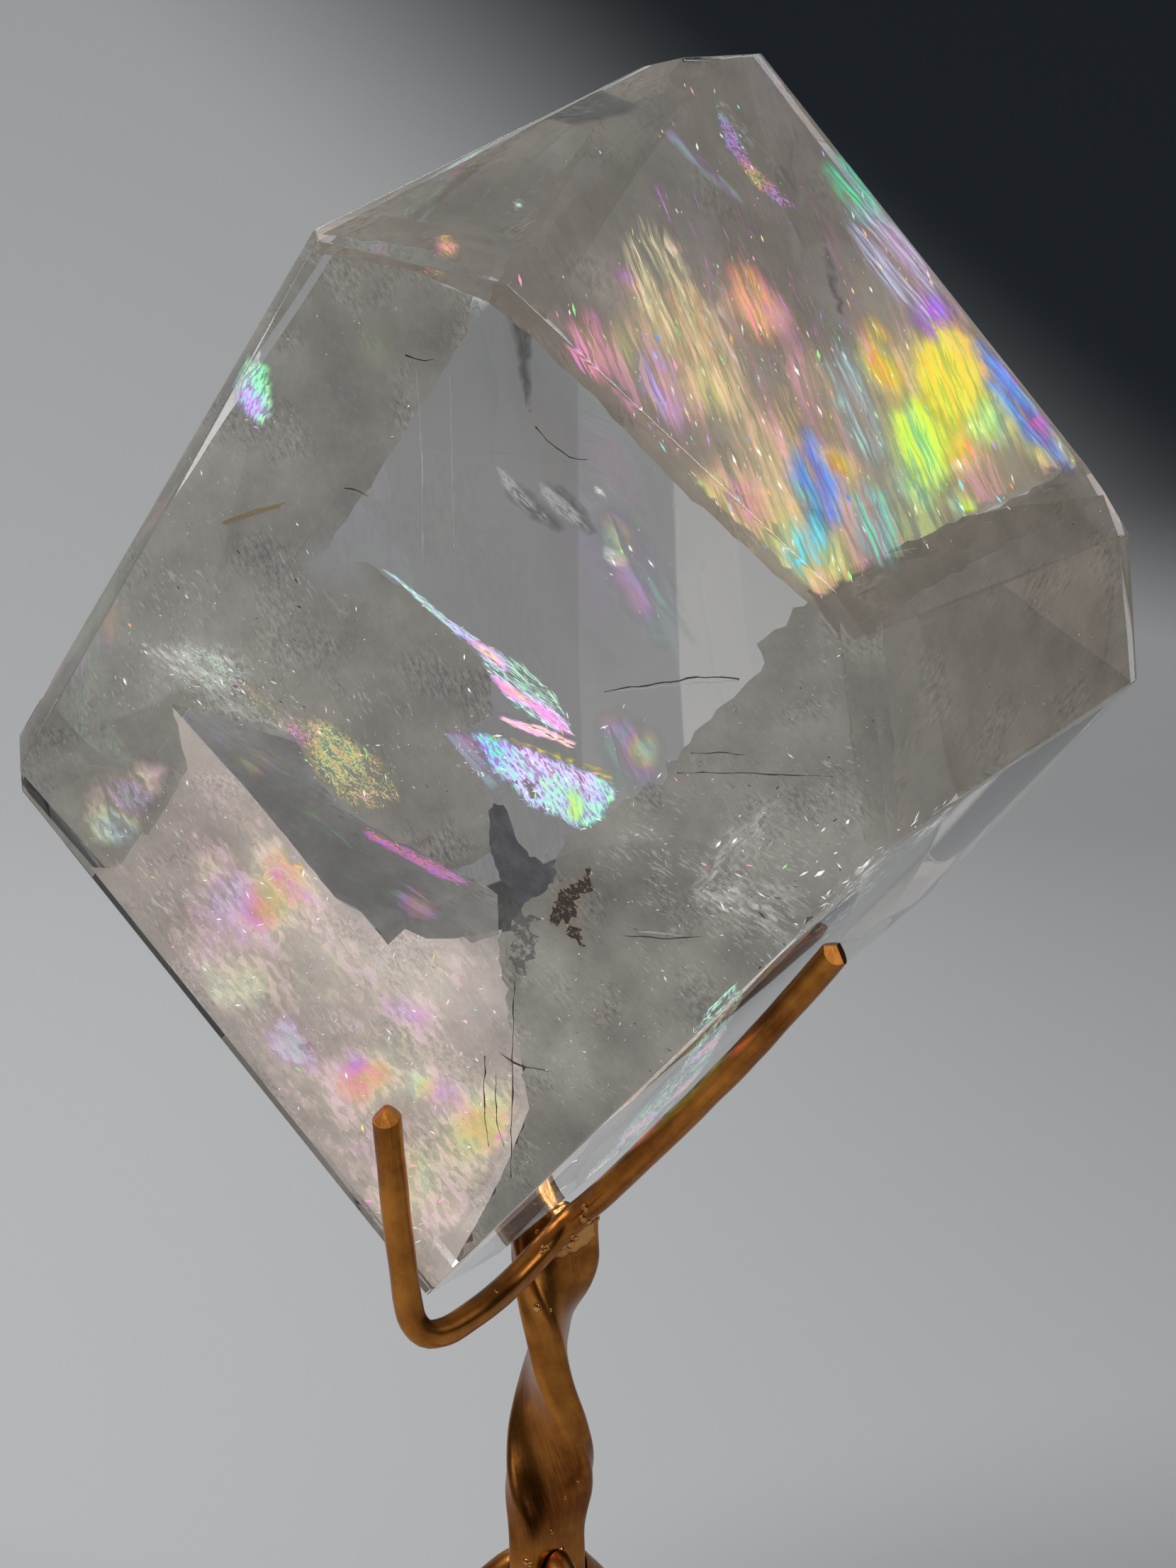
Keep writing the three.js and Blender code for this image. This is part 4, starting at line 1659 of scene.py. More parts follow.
        [(505, 440), (565, 436), (575, 520), (530, 552), (488, 508)],
        [(510, 450, 6), (570, 440, 7), (530, 540, 6)],
        streak=(550, 440, 510, 530), film=400, glow=0.7, feather=2,
        flakes=Flakes(25, 0.7, {Hue.GREEN: 1, Hue.ROSE: 0.5, Hue.WHITE: 1}),
    ),
    Sheet(
        "window_tint", FAINT,
        [(620, 420), (774, 420), (840, 575), (990, 760), (960, 900), (850, 1000), (708, 774), (690, 620)],
        [(700, 450, 22), (960, 760, 24), (760, 880, 22)],
        streak=(708, 464, 818, 907), seen_at=(760, 640), film=600, glow=0.4, feather=6, cell=2,
        spots=[(813, 860, 5, 520, 0.8), (719, 650, 4, 330, 0.5), (930, 850, 5, 620, 0.6)],
    ),
    Sheet(
        "fracture", BRILLIANT,
        [(523, 794), (560, 812), (628, 868), (704, 917), (745, 940), (786, 984), (812, 1045), (786, 1037),
         (719, 1001), (702, 975), (679, 945), (671, 919), (620, 880), (570, 832)],
        [(525, 797, 7), (810, 1045, 10), (700, 925, 4.5)],
        film=610, glow=0.45, feather=0.6, cell=0.7,
        spots=[(545, 812, 1.6, 585, 0.95), (600, 855, 1.6, 600, 0.8), (650, 895, 1.4, 570, 0.95),
               (690, 925, 1.4, 450, 0.8), (712, 975, 1.3, 470, 1), (735, 985, 1.2, 478, 0.95),
               (770, 1010, 1.6, 512, 0.95), (795, 1035, 1.4, 530, 0.9)],
        flakes=Flakes(150, 1.2, RAINBOW_HUES, tilt=40, spin=25),
    ),
    Sheet(
        "fracture_band", BRILLIANT,
        [(704, 1009), (760, 1026), (815, 1050), (814, 1060), (752, 1038), (706, 1018)],
        [(706, 1012, 9), (813, 1055, 10), (752, 1034, 8.6)],
        film=490, glow=0.8, feather=0.3, cell=0.6,
    ),
    Sheet(
        "triangle", BRILLIANT,
        [(655, 1028), (694, 1037), (801, 1076), (867, 1103), (867, 1139), (847, 1164), (806, 1174),
         (786, 1159), (745, 1144), (704, 1103), (679, 1062)],
        [(666, 1032, 7), (867, 1110, 9), (800, 1170, 11)],
        streak=(770, 1160, 700, 1050), film=606, glow=0.86, feather=0.4, cell=0.8,
        spots=[(760, 1072, 2, 545, 0.78), (835, 1102, 1.8, 552, 0.78), (695, 1066, 1.6, 585, 1),
               (730, 1095, 2.2, 592, 0.8), (770, 1125, 2, 598, 0.8), (810, 1118, 1.8, 585, 0.74),
               (855, 1130, 1.8, 615, 0.85)],
        flakes=Flakes(150, 1.3, RAINBOW_HUES, tilt=35),
    ),
    Sheet(
        "triangle_edge", PATCH,
        [(688, 1033), (745, 1048), (800, 1066), (867, 1095), (867, 1105), (796, 1078), (742, 1058),
         (690, 1043)],
        [(690, 1036, 6), (866, 1100, 8), (745, 1058, 6.5)],
        film=438, glow=1.1, feather=0.5, cell=0.6,
    ),
    Sheet(
        "triangle_green", PATCH,
        [(792, 1112), (815, 1108), (830, 1130), (824, 1165), (806, 1172), (794, 1150)],
        [(794, 1114, 7), (828, 1130, 7.6), (806, 1168, 8)],
        streak=(806, 1110, 812, 1170), film=402, glow=1.2, feather=0.8, cell=0.6,
    ),
    Sheet(
        "triangle_tail", SOFT,
        [(615, 1026), (665, 1030), (690, 1075), (715, 1120), (690, 1125), (655, 1080)],
        [(620, 1030, 6), (710, 1115, 8), (660, 1080, 9)],
        film=560, glow=0.8, feather=1.2, cell=0.8,
        flakes=Flakes(160, 1, {Hue.ROSE: 1, Hue.VIOLET: 1, Hue.WHITE: 1}, tilt=50),
    ),
    Sheet(
        "violet_film", SOFT,
        [(835, 1000), (870, 995), (935, 1030), (945, 1070), (935, 1115), (890, 1135), (850, 1110),
         (835, 1060)],
        [(840, 1010, 8), (935, 1040, 9), (860, 1110, 9)],
        streak=(850, 1000, 910, 1120), film=580, glow=0.5, feather=2, cell=1,
        spots=[(852, 1008, 1.3, 430, 0.9), (926, 1034, 1.2, 490, 0.9), (910, 1065, 1.3, 330, 0.8),
               (925, 1110, 1.3, 520, 0.7)],
        flakes=Flakes(60, 1, PASTEL_HUES),
    ),
    Sheet(
        "window_films", SOFT,
        [(835, 700), (880, 720), (950, 800), (990, 920), (930, 930), (870, 860), (840, 800)],
        [(840, 710, 9), (980, 910, 11), (860, 840, 12)],
        streak=(845, 700, 960, 900), film=560, glow=0.3, feather=2, cell=1,
        spots=[(870, 860, 2, 430, 0.6), (860, 770, 2, 340, 0.6), (890, 850, 1.6, 480, 0.6)],
        flakes=Flakes(40, 1.1, PASTEL_HUES, tilt=50, spin=25),
    ),
    Sheet(
        "green_sparkle", SPARKLE,
        [(300, 925), (335, 945), (408, 1006), (459, 1006), (515, 1047), (566, 1088), (571, 1134),
         (531, 1154), (490, 1144), (449, 1103), (420, 1052), (350, 1010)],
        [(310, 930, 5), (565, 1130, 8), (440, 1090, 9)],
        streak=(420, 1000, 540, 1140), film=410, glow=0.6, feather=1.2, cell=1,
        spots=[(315, 940, 1.6, 600, 0.9), (465, 1060, 2.5, 405, 0.9), (425, 1040, 1.5, 500, 0.7)],
        flakes=Flakes(170, 1, {**PASTEL_HUES, Hue.GREEN: 0.8, Hue.GOLD: 0.6}, tilt=50),
    ),
    Sheet(
        "magenta_edge", SPARKLE,
        [(500, 1165), (525, 1170), (592, 1203), (640, 1228), (690, 1262), (610, 1240), (560, 1208),
         (520, 1186)],
        [(505, 1168, 9), (680, 1255, 11), (590, 1225, 12)],
        film=505, glow=0.85, feather=0.8, cell=0.8,
        spots=[(597, 1220, 1.3, 514, 1.1), (540, 1185, 1.3, 498, 1.05)],
        flakes=Flakes(50, 1.1, {Hue.ROSE: 1, Hue.VIOLET: 0.6}, tilt=40, spin=30),
    ),
    Sheet(
        "band_purple", SOFT,
        [(247, 993), (262, 1000), (330, 1080), (420, 1190), (480, 1262), (474, 1266), (357, 1118)],
        [(250, 996, 7), (475, 1262, 10), (340, 1098, 9)],
        film=540, glow=0.4, feather=0.6, cell=0.8,
    ),
    Sheet(
        "lower_pastel", PASTEL,
        [(262, 1085), (357, 1122), (474, 1270), (545, 1335), (600, 1332), (690, 1335), (735, 1560),
         (690, 1660), (601, 1815), (500, 1680), (380, 1520), (250, 1350), (150, 1225)],
        [(280, 1100, 7), (700, 1345, 10), (600, 1760, 3)],
        streak=(290, 1220, 620, 1660), seen_at=(450, 1400), film=465, glow=0.5, feather=0.6, cell=1.2,
        ragged=0.15,
        spots=[(400, 1225, 2, 484, 1), (368, 1278, 2.2, 492, 1), (420, 1262, 1.6, 478, 0.9),
               (320, 1255, 1.6, 590, 0.7), (300, 1225, 1.4, 455, 0.8), (345, 1265, 1.2, 570, 0.8),
               (595, 1360, 2.4, 448, 0.55), (590, 1432, 1.3, 515, 0.9), (562, 1420, 1, 575, 0.85),
               (500, 1528, 2, 500, 1), (535, 1510, 1.4, 478, 1), (592, 1526, 1.2, 402, 0.95),
               (620, 1540, 1.6, 545, 0.85), (495, 1495, 1, 600, 0.95), (675, 1590, 2.4, 460, 1),
               (700, 1560, 1.8, 452, 0.9), (640, 1620, 2, 468, 0.85), (575, 1670, 2.2, 428, 0.8),
               (580, 1640, 1.4, 440, 0.85), (625, 1705, 1.6, 490, 0.8), (350, 1385, 1.6, 410, 0.7),
               (410, 1465, 1.8, 590, 0.7), (460, 1370, 2, 430, 0.5), (470, 1450, 2.4, 480, 0.45),
               (560, 1480, 1.6, 458, 0.7), (310, 1395, 1.2, 404, 0.7), (260, 1150, 3, 465, 0.25),
               (230, 1230, 3, 465, 0.2), (700, 1440, 3, 465, 0.2)],
        flakes=Flakes(60, 1.1, PASTEL_HUES, tilt=60),
    ),
    Sheet(
        "left_tip_film", PASTEL,
        [(120, 1080), (200, 1065), (250, 1070), (235, 1125), (190, 1205), (130, 1200), (90, 1140)],
        [(130, 1090, 3), (245, 1080, 4), (140, 1190, 3)],
        streak=(120, 1080, 190, 1200), film=465, glow=0.35, feather=1.5, cell=1,
        spots=[(220, 1092, 1.8, 462, 0.85), (170, 1175, 2.2, 350, 0.75), (190, 1130, 1.5, 600, 0.5)],
        flakes=Flakes(60, 0.9, PASTEL_HUES),
    ),
    # ---- wisps
    Sheet(
        "wisp_left", WISP_VEIL,
        [(190, 900), (250, 905), (330, 900), (420, 960), (450, 1040), (380, 1040), (290, 1000), (220, 970)],
        [(200, 905, 3.5), (440, 1020, 5), (260, 980, 5)],
        streak=(210, 905, 330, 1010), glow=0.75, feather=1.5, cell=1,
        flakes=Flakes(150, 1, {Hue.WHITE: 1, Hue.SILVER: 1, Hue.SMOKE: 0.4, Hue.ROSE: 0.1}, tilt=50, spin=25),
    ),
    Sheet(
        "sparkle_left", WHITE_SPARKLE,
        [(207, 903), (260, 890), (330, 915), (372, 965), (361, 1000), (300, 1004), (240, 975)],
        [(210, 905, 4), (368, 968, 5), (245, 972, 5)],
        streak=(210, 905, 330, 990), film=620, glow=0.55, feather=1.6, cell=0.9,
        spots=[(311, 941, 2.2, 620, 0.95)],
    ),
    Sheet(
        "wisp_right", WISP_VEIL,
        [(960, 1280), (1000, 1180), (1090, 1110), (1170, 1100), (1210, 1170), (1130, 1270), (1040, 1290)],
        [(965, 1275, 5), (1200, 1165, 3), (1020, 1170, 5)],
        streak=(970, 1290, 1140, 1140), glow=0.7, feather=2, cell=1.1,
        flakes=Flakes(60, 1.3, PALE_HUES, tilt=40, spin=18),
    ),
    Sheet(
        "wisp_right_low", WISP_VEIL,
        [(960, 1250), (1060, 1230), (1150, 1250), (1180, 1280), (1120, 1340), (1060, 1370), (1000, 1330)],
        [(965, 1252, 4), (1170, 1275, 3), (1050, 1350, 3)],
        streak=(970, 1240, 1120, 1340), glow=0.7, feather=2, cell=1.1,
        flakes=Flakes(60, 1.3, PALE_HUES, tilt=40, spin=18),
    ),
    # Painted reflection: the strip sheets paint the whitish wisps and coloured glints that the lower right
    # face reflects where it is seen at a grazing angle.
    Sheet(
        "strip_wisps", WISP_VEIL,
        [(1120, 1300), (1200, 1205), (1300, 1130), (1345, 1120), (1340, 1150), (1250, 1235), (1170, 1320)],
        [(1130, 1295, 1), (1335, 1130, 1), (1180, 1300, 1)],
        streak=(1130, 1300, 1330, 1130), seen_at=(1230, 1225), glow=0.9, feather=0.8, cell=0.9,
        flakes=Flakes(90, 1.4, {Hue.WHITE: 1, Hue.SILVER: 1}, tilt=30, spin=15),
    ),
    Sheet(
        "strip_glints", BRILLIANT,
        [(1045, 1385), (1055, 1398), (1000, 1500), (930, 1580), (850, 1665), (790, 1715), (800, 1690),
         (880, 1595), (960, 1500), (1020, 1410)],
        [(1045, 1395, 1), (795, 1705, 1), (990, 1500, 1)],
        streak=(1045, 1390, 800, 1705), seen_at=(950, 1535), film=600, glow=0.45, feather=0.4, cell=0.8,
        spots=[(1032, 1400, 1.4, 395, 1), (1003, 1475, 1.4, 465, 1), (970, 1530, 1.4, 420, 1),
               (900, 1590, 1.5, 450, 0.9), (850, 1645, 1.5, 330, 0.9)],
        flakes=Flakes(90, 1.4, RAINBOW_HUES, tilt=30, spin=15),
    ),
    # ---- dark places; the dark band is a painted reflection of the dark surroundings
    Sheet(
        "dark_band", DARK_REFLECTION_VEIL,
        [(247, 993), (327, 1016), (423, 1047), (449, 1098), (490, 1144), (531, 1169), (592, 1200),
         (663, 1236), (700, 1262), (700, 1318), (640, 1335), (602, 1322), (577, 1318), (546, 1335),
         (536, 1312), (503, 1277), (474, 1262), (357, 1118)],
        [(250, 997, 10), (695, 1290, 14), (510, 1270, 15)],
        streak=(250, 997, 660, 1260), glow=0.55, cell=1.2, ragged=0.12,
        spots=[(330, 1050, 3, 0, 0.85), (540, 1240, 4, 0, 0.42), (430, 1120, 2.5, 0, 0.65),
               (670, 1270, 4, 0, 1), (630, 1310, 3, 0, 0.9)],
        fades=[(300, 1005, 2.4), (455, 1090, 1.6)],
    ),
    Sheet(
        "band_tints", SOFT,
        [(262, 1004), (330, 1030), (423, 1060), (490, 1150), (600, 1215), (690, 1270), (640, 1322),
         (560, 1318), (480, 1255), (360, 1112)],
        [(264, 1008, 8), (680, 1275, 12), (500, 1255, 13)],
        streak=(262, 1004, 660, 1260), film=590, glow=0.12, feather=1.2, cell=1,
        spots=[(290, 1035, 2, 540, 0.5), (350, 1065, 2, 325, 0.35), (560, 1195, 1.6, 515, 0.6),
               (610, 1232, 1.5, 515, 0.6), (590, 1275, 1.5, 395, 0.5), (500, 1180, 2, 560, 0.35)],
    ),
    Sheet(
        "dark_wedge", SMOKE,
        [(713, 418), (740, 435), (757, 465), (754, 606), (766, 623), (746, 588), (728, 494), (716, 447)],
        [(715, 420, 12), (757, 610, 14), (757, 470, 15)],
        glow=0.3, feather=0.5, cell=0.8, ragged=0.2,
    ),
    Sheet(
        "dark_corner", SMOKE,
        [(760, 166), (845, 122), (904, 148), (898, 160), (816, 177)],
        [(765, 165, 2), (845, 124, 2), (896, 158, 2.4)],
        streak=(765, 165, 898, 155), glow=0.4, feather=0.3, cell=1, ragged=0.1,
    ),
    Sheet(
        "dark_streak", SMOKE,
        [(1150, 305), (1165, 330), (1180, 385), (1196, 450), (1180, 440), (1165, 380)],
        [(1152, 308, 3), (1194, 446, 3.4), (1166, 380, 3.8)],
        glow=0.3, feather=0.4, cell=0.8,
    ),
    # ---- feathery crescents in the clear window
    Sheet(
        "crescent_left", FEATHER,
        [(699, 660), (715, 672), (750, 712), (787, 750), (782, 755), (745, 738), (712, 700)],
        [(700, 662, 11), (786, 752, 12), (745, 730, 13)],
        glow=0.35, feather=0.5, cell=0.7,
    ),
    Sheet(
        "crescent_mid", FEATHER,
        [(757, 685), (775, 692), (810, 720), (836, 762), (828, 766), (795, 745), (765, 712)],
        [(758, 688, 11), (834, 762, 12), (790, 738, 13)],
        glow=0.3, feather=0.5, cell=0.7,
    ),
    # Painted shade: dark sheets laid just beside the crescents.
    Sheet(
        "crescent_shade", SMOKE,
        [(706, 672), (740, 690), (775, 722), (806, 760), (790, 764), (748, 744), (716, 712)],
        [(708, 674, 12.5), (804, 760, 13.5), (748, 740, 14)],
        streak=(706, 672, 804, 760), glow=0.5, feather=0.8, cell=0.7,
    ),
    Sheet(
        "crescent_shade_two", SMOKE,
        [(765, 684), (800, 696), (832, 728), (848, 768), (836, 772), (806, 748), (776, 716)],
        [(767, 686, 12.5), (846, 768, 13.5), (806, 744, 14)],
        streak=(765, 684, 846, 768), glow=0.55, feather=0.8, cell=0.7,
    ),
    Sheet(
        "crescent_right", FEATHER,
        [(833, 690), (850, 696), (860, 716), (845, 712)],
        [(834, 692, 10), (858, 714, 11), (846, 710, 11)],
        glow=0.9, feather=0.4, cell=0.6,
        flakes=Flakes(200, 1.3, {Hue.WHITE: 1, Hue.SILVER: 0.6}, tilt=40),
    ),
    Sheet(
        "crescent_low", FEATHER,
        [(845, 774), (880, 785), (893, 803), (885, 818), (868, 815), (850, 795)],
        [(846, 776, 10), (892, 804, 11), (860, 806, 11)],
        streak=(846, 776, 892, 810), glow=0.7, feather=0.5, cell=0.6,
        flakes=Flakes(120, 1, PASTEL_HUES, tilt=40),
    ),
    Sheet(
        "wedge_feather", FEATHER,
        [(610, 380), (650, 385), (700, 400), (725, 430), (700, 440), (670, 470), (655, 440), (630, 420)],
        [(612, 384, 10), (722, 430, 12), (660, 450, 13)],
        streak=(612, 384, 690, 450), glow=0.4, feather=0.8, cell=0.8,
        flakes=Flakes(90, 1.1, {Hue.WHITE: 1, Hue.SILVER: 1, Hue.SMOKE: 0.8}, tilt=50, spin=40),
    ),
    # ---- minerals
    Sheet(
        "slate_upper", SLATE,
        [(689, 1144), (696, 1134), (714, 1144), (730, 1190), (745, 1210), (781, 1226), (778, 1246),
         (755, 1266), (730, 1277), (714, 1251), (702, 1231), (691, 1205)],
        [(690, 1144, 7), (780, 1230, 7.5), (720, 1260, 8)],
        streak=(690, 1144, 770, 1250), cell=0.9, ragged=0.5,
    ),
    Sheet(
        "slate_lower", MOTTLE,
        [(709, 1272), (730, 1275), (748, 1290), (755, 1330), (742, 1370), (725, 1372), (712, 1345)],
        [(712, 1275, 7), (752, 1330, 7.5), (720, 1365, 8)],
        streak=(712, 1275, 730, 1365), cell=0.9, ragged=1.4,
    ),
    Sheet(
        "dendrite", DENDRITE,
        [(829, 1222), (830, 1240), (823, 1262), (815, 1282), (803, 1296), (818, 1322), (817, 1340),
         (808, 1326), (795, 1304), (772, 1298), (788, 1286), (778, 1275), (800, 1264), (792, 1254),
         (814, 1242)],
        [(826, 1226, 6), (806, 1326, 6.5), (780, 1290, 6.5)],
        streak=(828, 1226, 800, 1320), cell=0.35, ragged=1.3,
    ),
    Sheet(
        "dendrite_mist", BROWN_MIST,
        [(832, 1216), (834, 1262), (822, 1300), (826, 1345), (800, 1330), (758, 1305), (766, 1268),
         (798, 1236)],
        [(828, 1226, 6.6), (810, 1330, 7), (764, 1295, 7)],
        streak=(830, 1220, 790, 1300), glow=0.5, feather=1, cell=0.7,
    ),
    Sheet(
        "ochre_low", OCHRE,
        [(418, 1473), (440, 1470), (444, 1490), (426, 1496)],
        [(420, 1476, 5), (442, 1472, 5), (428, 1494, 5.4)],
        streak=(418, 1480, 444, 1484), cell=0.6, ragged=0.8,
    ),
    Sheet(
        "ochre_streak", OCHRE,
        [(315, 738), (365, 718), (405, 712), (400, 722), (365, 732), (325, 744)],
        [(318, 738, 5), (402, 714, 5.5), (365, 726, 6)],
        streak=(315, 740, 402, 714), cell=0.6, ragged=0.3,
    ),
]

HAIRLINES = [
    Hairline([(852, 981), (892, 974), (934, 968), (1010, 960), (1041, 963)], 9, 0.14),
    Hairline([(870, 980), (934, 973), (1000, 968), (1041, 965)], 9.3, 0.1, Hue.SILVER),
    Hairline([(954, 1093), (1010, 1092), (1090, 1094), (1173, 1098)], 4, 0.09),
    Hairline([(974, 1065), (1010, 1064), (1051, 1067)], 4, 0.08),
    Hairline([(878, 1320), (944, 1325), (990, 1322)], 4, 0.12),
    Hairline([(900, 1316), (930, 1318), (960, 1322)], 4.3, 0.12, Hue.SILVER),
    Hairline([(703, 1484), (735, 1502), (774, 1511)], 4, 0.1),
    Hairline([(724, 1383), (721, 1482), (719, 1570), (717, 1659)], 5, 0.09),
    Hairline([(683, 1488), (680, 1548), (686, 1615)], 5, 0.1),
    Hairline([(697, 1515), (699, 1582), (708, 1615)], 5, 0.08),
    Hairline([(588, 520), (595, 619), (597, 796)], 3, 0.04, Hue.SILVER),
    Hairline([(636, 531), (639, 664), (641, 774)], 3, 0.03, Hue.SILVER),
    Hairline([(487, 691), (511, 695), (520, 701)], 3, 0.12),
    Hairline([(573, 504), (597, 511), (614, 509)], 3, 0.12),
    Hairline([(757, 611), (785, 640), (816, 657), (830, 658)], 11, 0.1),
]


@dataclass
class Inclusions:
    """Everything sealed in the block: film-filled cracks, veils, flakes, hairlines and mineral stains, with
    sheets of painted reflection and shade among them.
    """

    view: Viewpoint
    block: Block
    effects: Effects
    seed: int = 11
    thread_step: float = 0.8
    thread_depth: float = 0.05

    def build(self) -> None:
        """Makes every sheet, and then the flakes of each hue as one piece."""
        materials = {}
        strew = strew_tree()
        loose: dict[Hue, list[Mesh]] = {hue: [] for hue in Hue}
        for sheet in SHEETS:
            sheet.lay_out(self.view, self.block)
            if sheet.finish.name not in materials:
                materials[sheet.finish.name] = sheet.finish.material(self.effects)
            mesh = sheet.mesh()
            if sheet.flakes:
                self.strew(mesh, strew, sheet.flakes, sheet.along, loose)
            mineral = isinstance(sheet.finish, MineralFinish)
            thing = new_object(f"crack_{sheet.name}", mesh, materials[sheet.finish.name])
            finished(thing, "mineral_stains" if mineral else "inclusions")
        for line in HAIRLINES:
            loose[line.hue].append(self.hairline(line))
        for hue, meshes in loose.items():
            if meshes:
                name = hue.name.lower()
                finished(new_object(f"flakes_{name}", joined(name, meshes), hue.material()), "inclusions")

    def strew(
        self, mesh: Mesh, tree: NodeTree, kind: Flakes, along: Vector, loose: dict[Hue, list[Mesh]]
    ) -> None:
        """Strews one kind of flakes over a sheet, hue by hue.

        Args:
            mesh: the sheet.
            tree: the strewing tree.
            kind: how many, how long and in which hues.
            along: the direction that the flakes lie along.
            loose: where the flakes' meshes are collected.
        """
        whole = sum(kind.hues.values())
        for hue, share in kind.hues.items():
            self.seed += 1
            turns = {"Tilt": math.radians(kind.tilt), "Spin": math.radians(kind.spin), "Along": tuple(along)}
            density, size = kind.count * share / whole * PER_SQUARE_METRE, kind.size * MM
            flakes = run_tree(mesh.copy(), tree, Density=density, Size=size, Seed=self.seed, **turns)
            loose[hue].append(self.kept_inside(flakes))

    def kept_inside(self, mesh: Mesh) -> Mesh:
        """Drops the flakes that would come too near a face of the block.

        Args:
            mesh: loose flakes, in metres.

        Returns:
            The same mesh without them.
        """
        shell = bmesh.new()
        shell.from_mesh(mesh)
        spots = np.array([v.co[:] for v in shell.verts]).reshape(-1, 3) / MM
        outside = np.zeros(len(spots), bool)
        for face in self.block.faces:
            outside |= spots @ np.array(face.normal) > face.reach - INSIDE * 0.5
        doomed = {v for v in shell.verts if outside[v.index]}
        spread = set(doomed)
        while doomed:
            doomed = {e.other_vert(v) for v in doomed for e in v.link_edges} - spread
            spread |= doomed
        bmesh.ops.delete(shell, geom=list(spread), context="VERTS")
        shell.to_mesh(mesh)
        shell.free()
        return mesh

    def hairline(self, line: Hairline) -> Mesh:
        """A thin three-sided thread along a crack's edge.

        Args:
            line: the crack's path and thickness.

        Returns:
            The thread's closed mesh.
        """
        face = self.block.face_at(self.view.eye, self.view.sight(line.pixels[0]))
        points = []
        for pixel in line.pixels:
            entry, inner = self.block.look_in(self.view.eye, self.view.sight(pixel), face)
            points.append(tuple(entry + inner * line.depth))
        path = smooth_path(points, self.thread_step)
        rings = []
        for k, place in enumerate(path):
            ahead = path[min(k + 1, len(path) - 1)] - path[max(k - 1, 0)]
            side = np.cross(ahead / np.linalg.norm(ahead), (0, 1, 0))
            thin = line.width * (0.25 + 0.75 * math.sin(math.pi * k / (len(path) - 1)))
            lift = noise.noise(Vector(place * 0.6)) * 0.25
            edges = [place + side * (lift + thin / 2), place + side * (lift - thin / 2)]
            rings.append([edges[0], place + np.array((0, self.thread_depth, 0)), edges[1]])
        mesh = lofted("hairline", np.array(rings))
        mesh.uv_layers.remove(mesh.uv_layers[0])
        return mesh


# ---------------------------------------------------------------- stand

STAND_FOOT = Vector((-2.804, 3.483, 0))  # foot of the twisted bar's axis, in the frame


@dataclass(frozen=True)
class Nip:
    """A slanted mark of the cutters at a rod's end: side it faces, steepness, and how far back."""

    at_start: bool
    side: Row
    lean: float
    back: float


@dataclass(frozen=True)
class Twist:
    """The twisted bar's section and turn at one height."""

    height: float
    turn: float
    lean: float


@dataclass(frozen=True)
class Leg:
    """One bent leg: its bearing, and the bar's face that it is brazed to."""

    name: str
    bearing: float
    face: float
    reach: float


# Places on the metal where the torch left bubbles, each with its radius in millimetres.
BUBBLES = (
    ((825, 1705), 0.62), ((822, 1720), 0.6), ((830, 1724), 0.45), ((844, 1718), 0.35), ((807, 1744), 0.4),
    ((813, 1747), 0.42), ((805, 1755), 0.62), ((795, 1759), 0.4), ((767, 1760), 0.35), ((765, 1767), 0.3),
    ((773, 1760), 0.32), ((758, 1738), 0.35), ((757, 1845), 0.55), ((777, 1848), 0.25), ((700, 1822), 0.3),
    ((797, 2114), 0.3), ((815, 2090), 0.28), ((778, 2162), 0.35), ((792, 2190), 0.7), ((784, 2204), 0.6),
    ((800, 2202), 0.6), ((742, 2204), 0.5), ((748, 2208), 0.35),
)


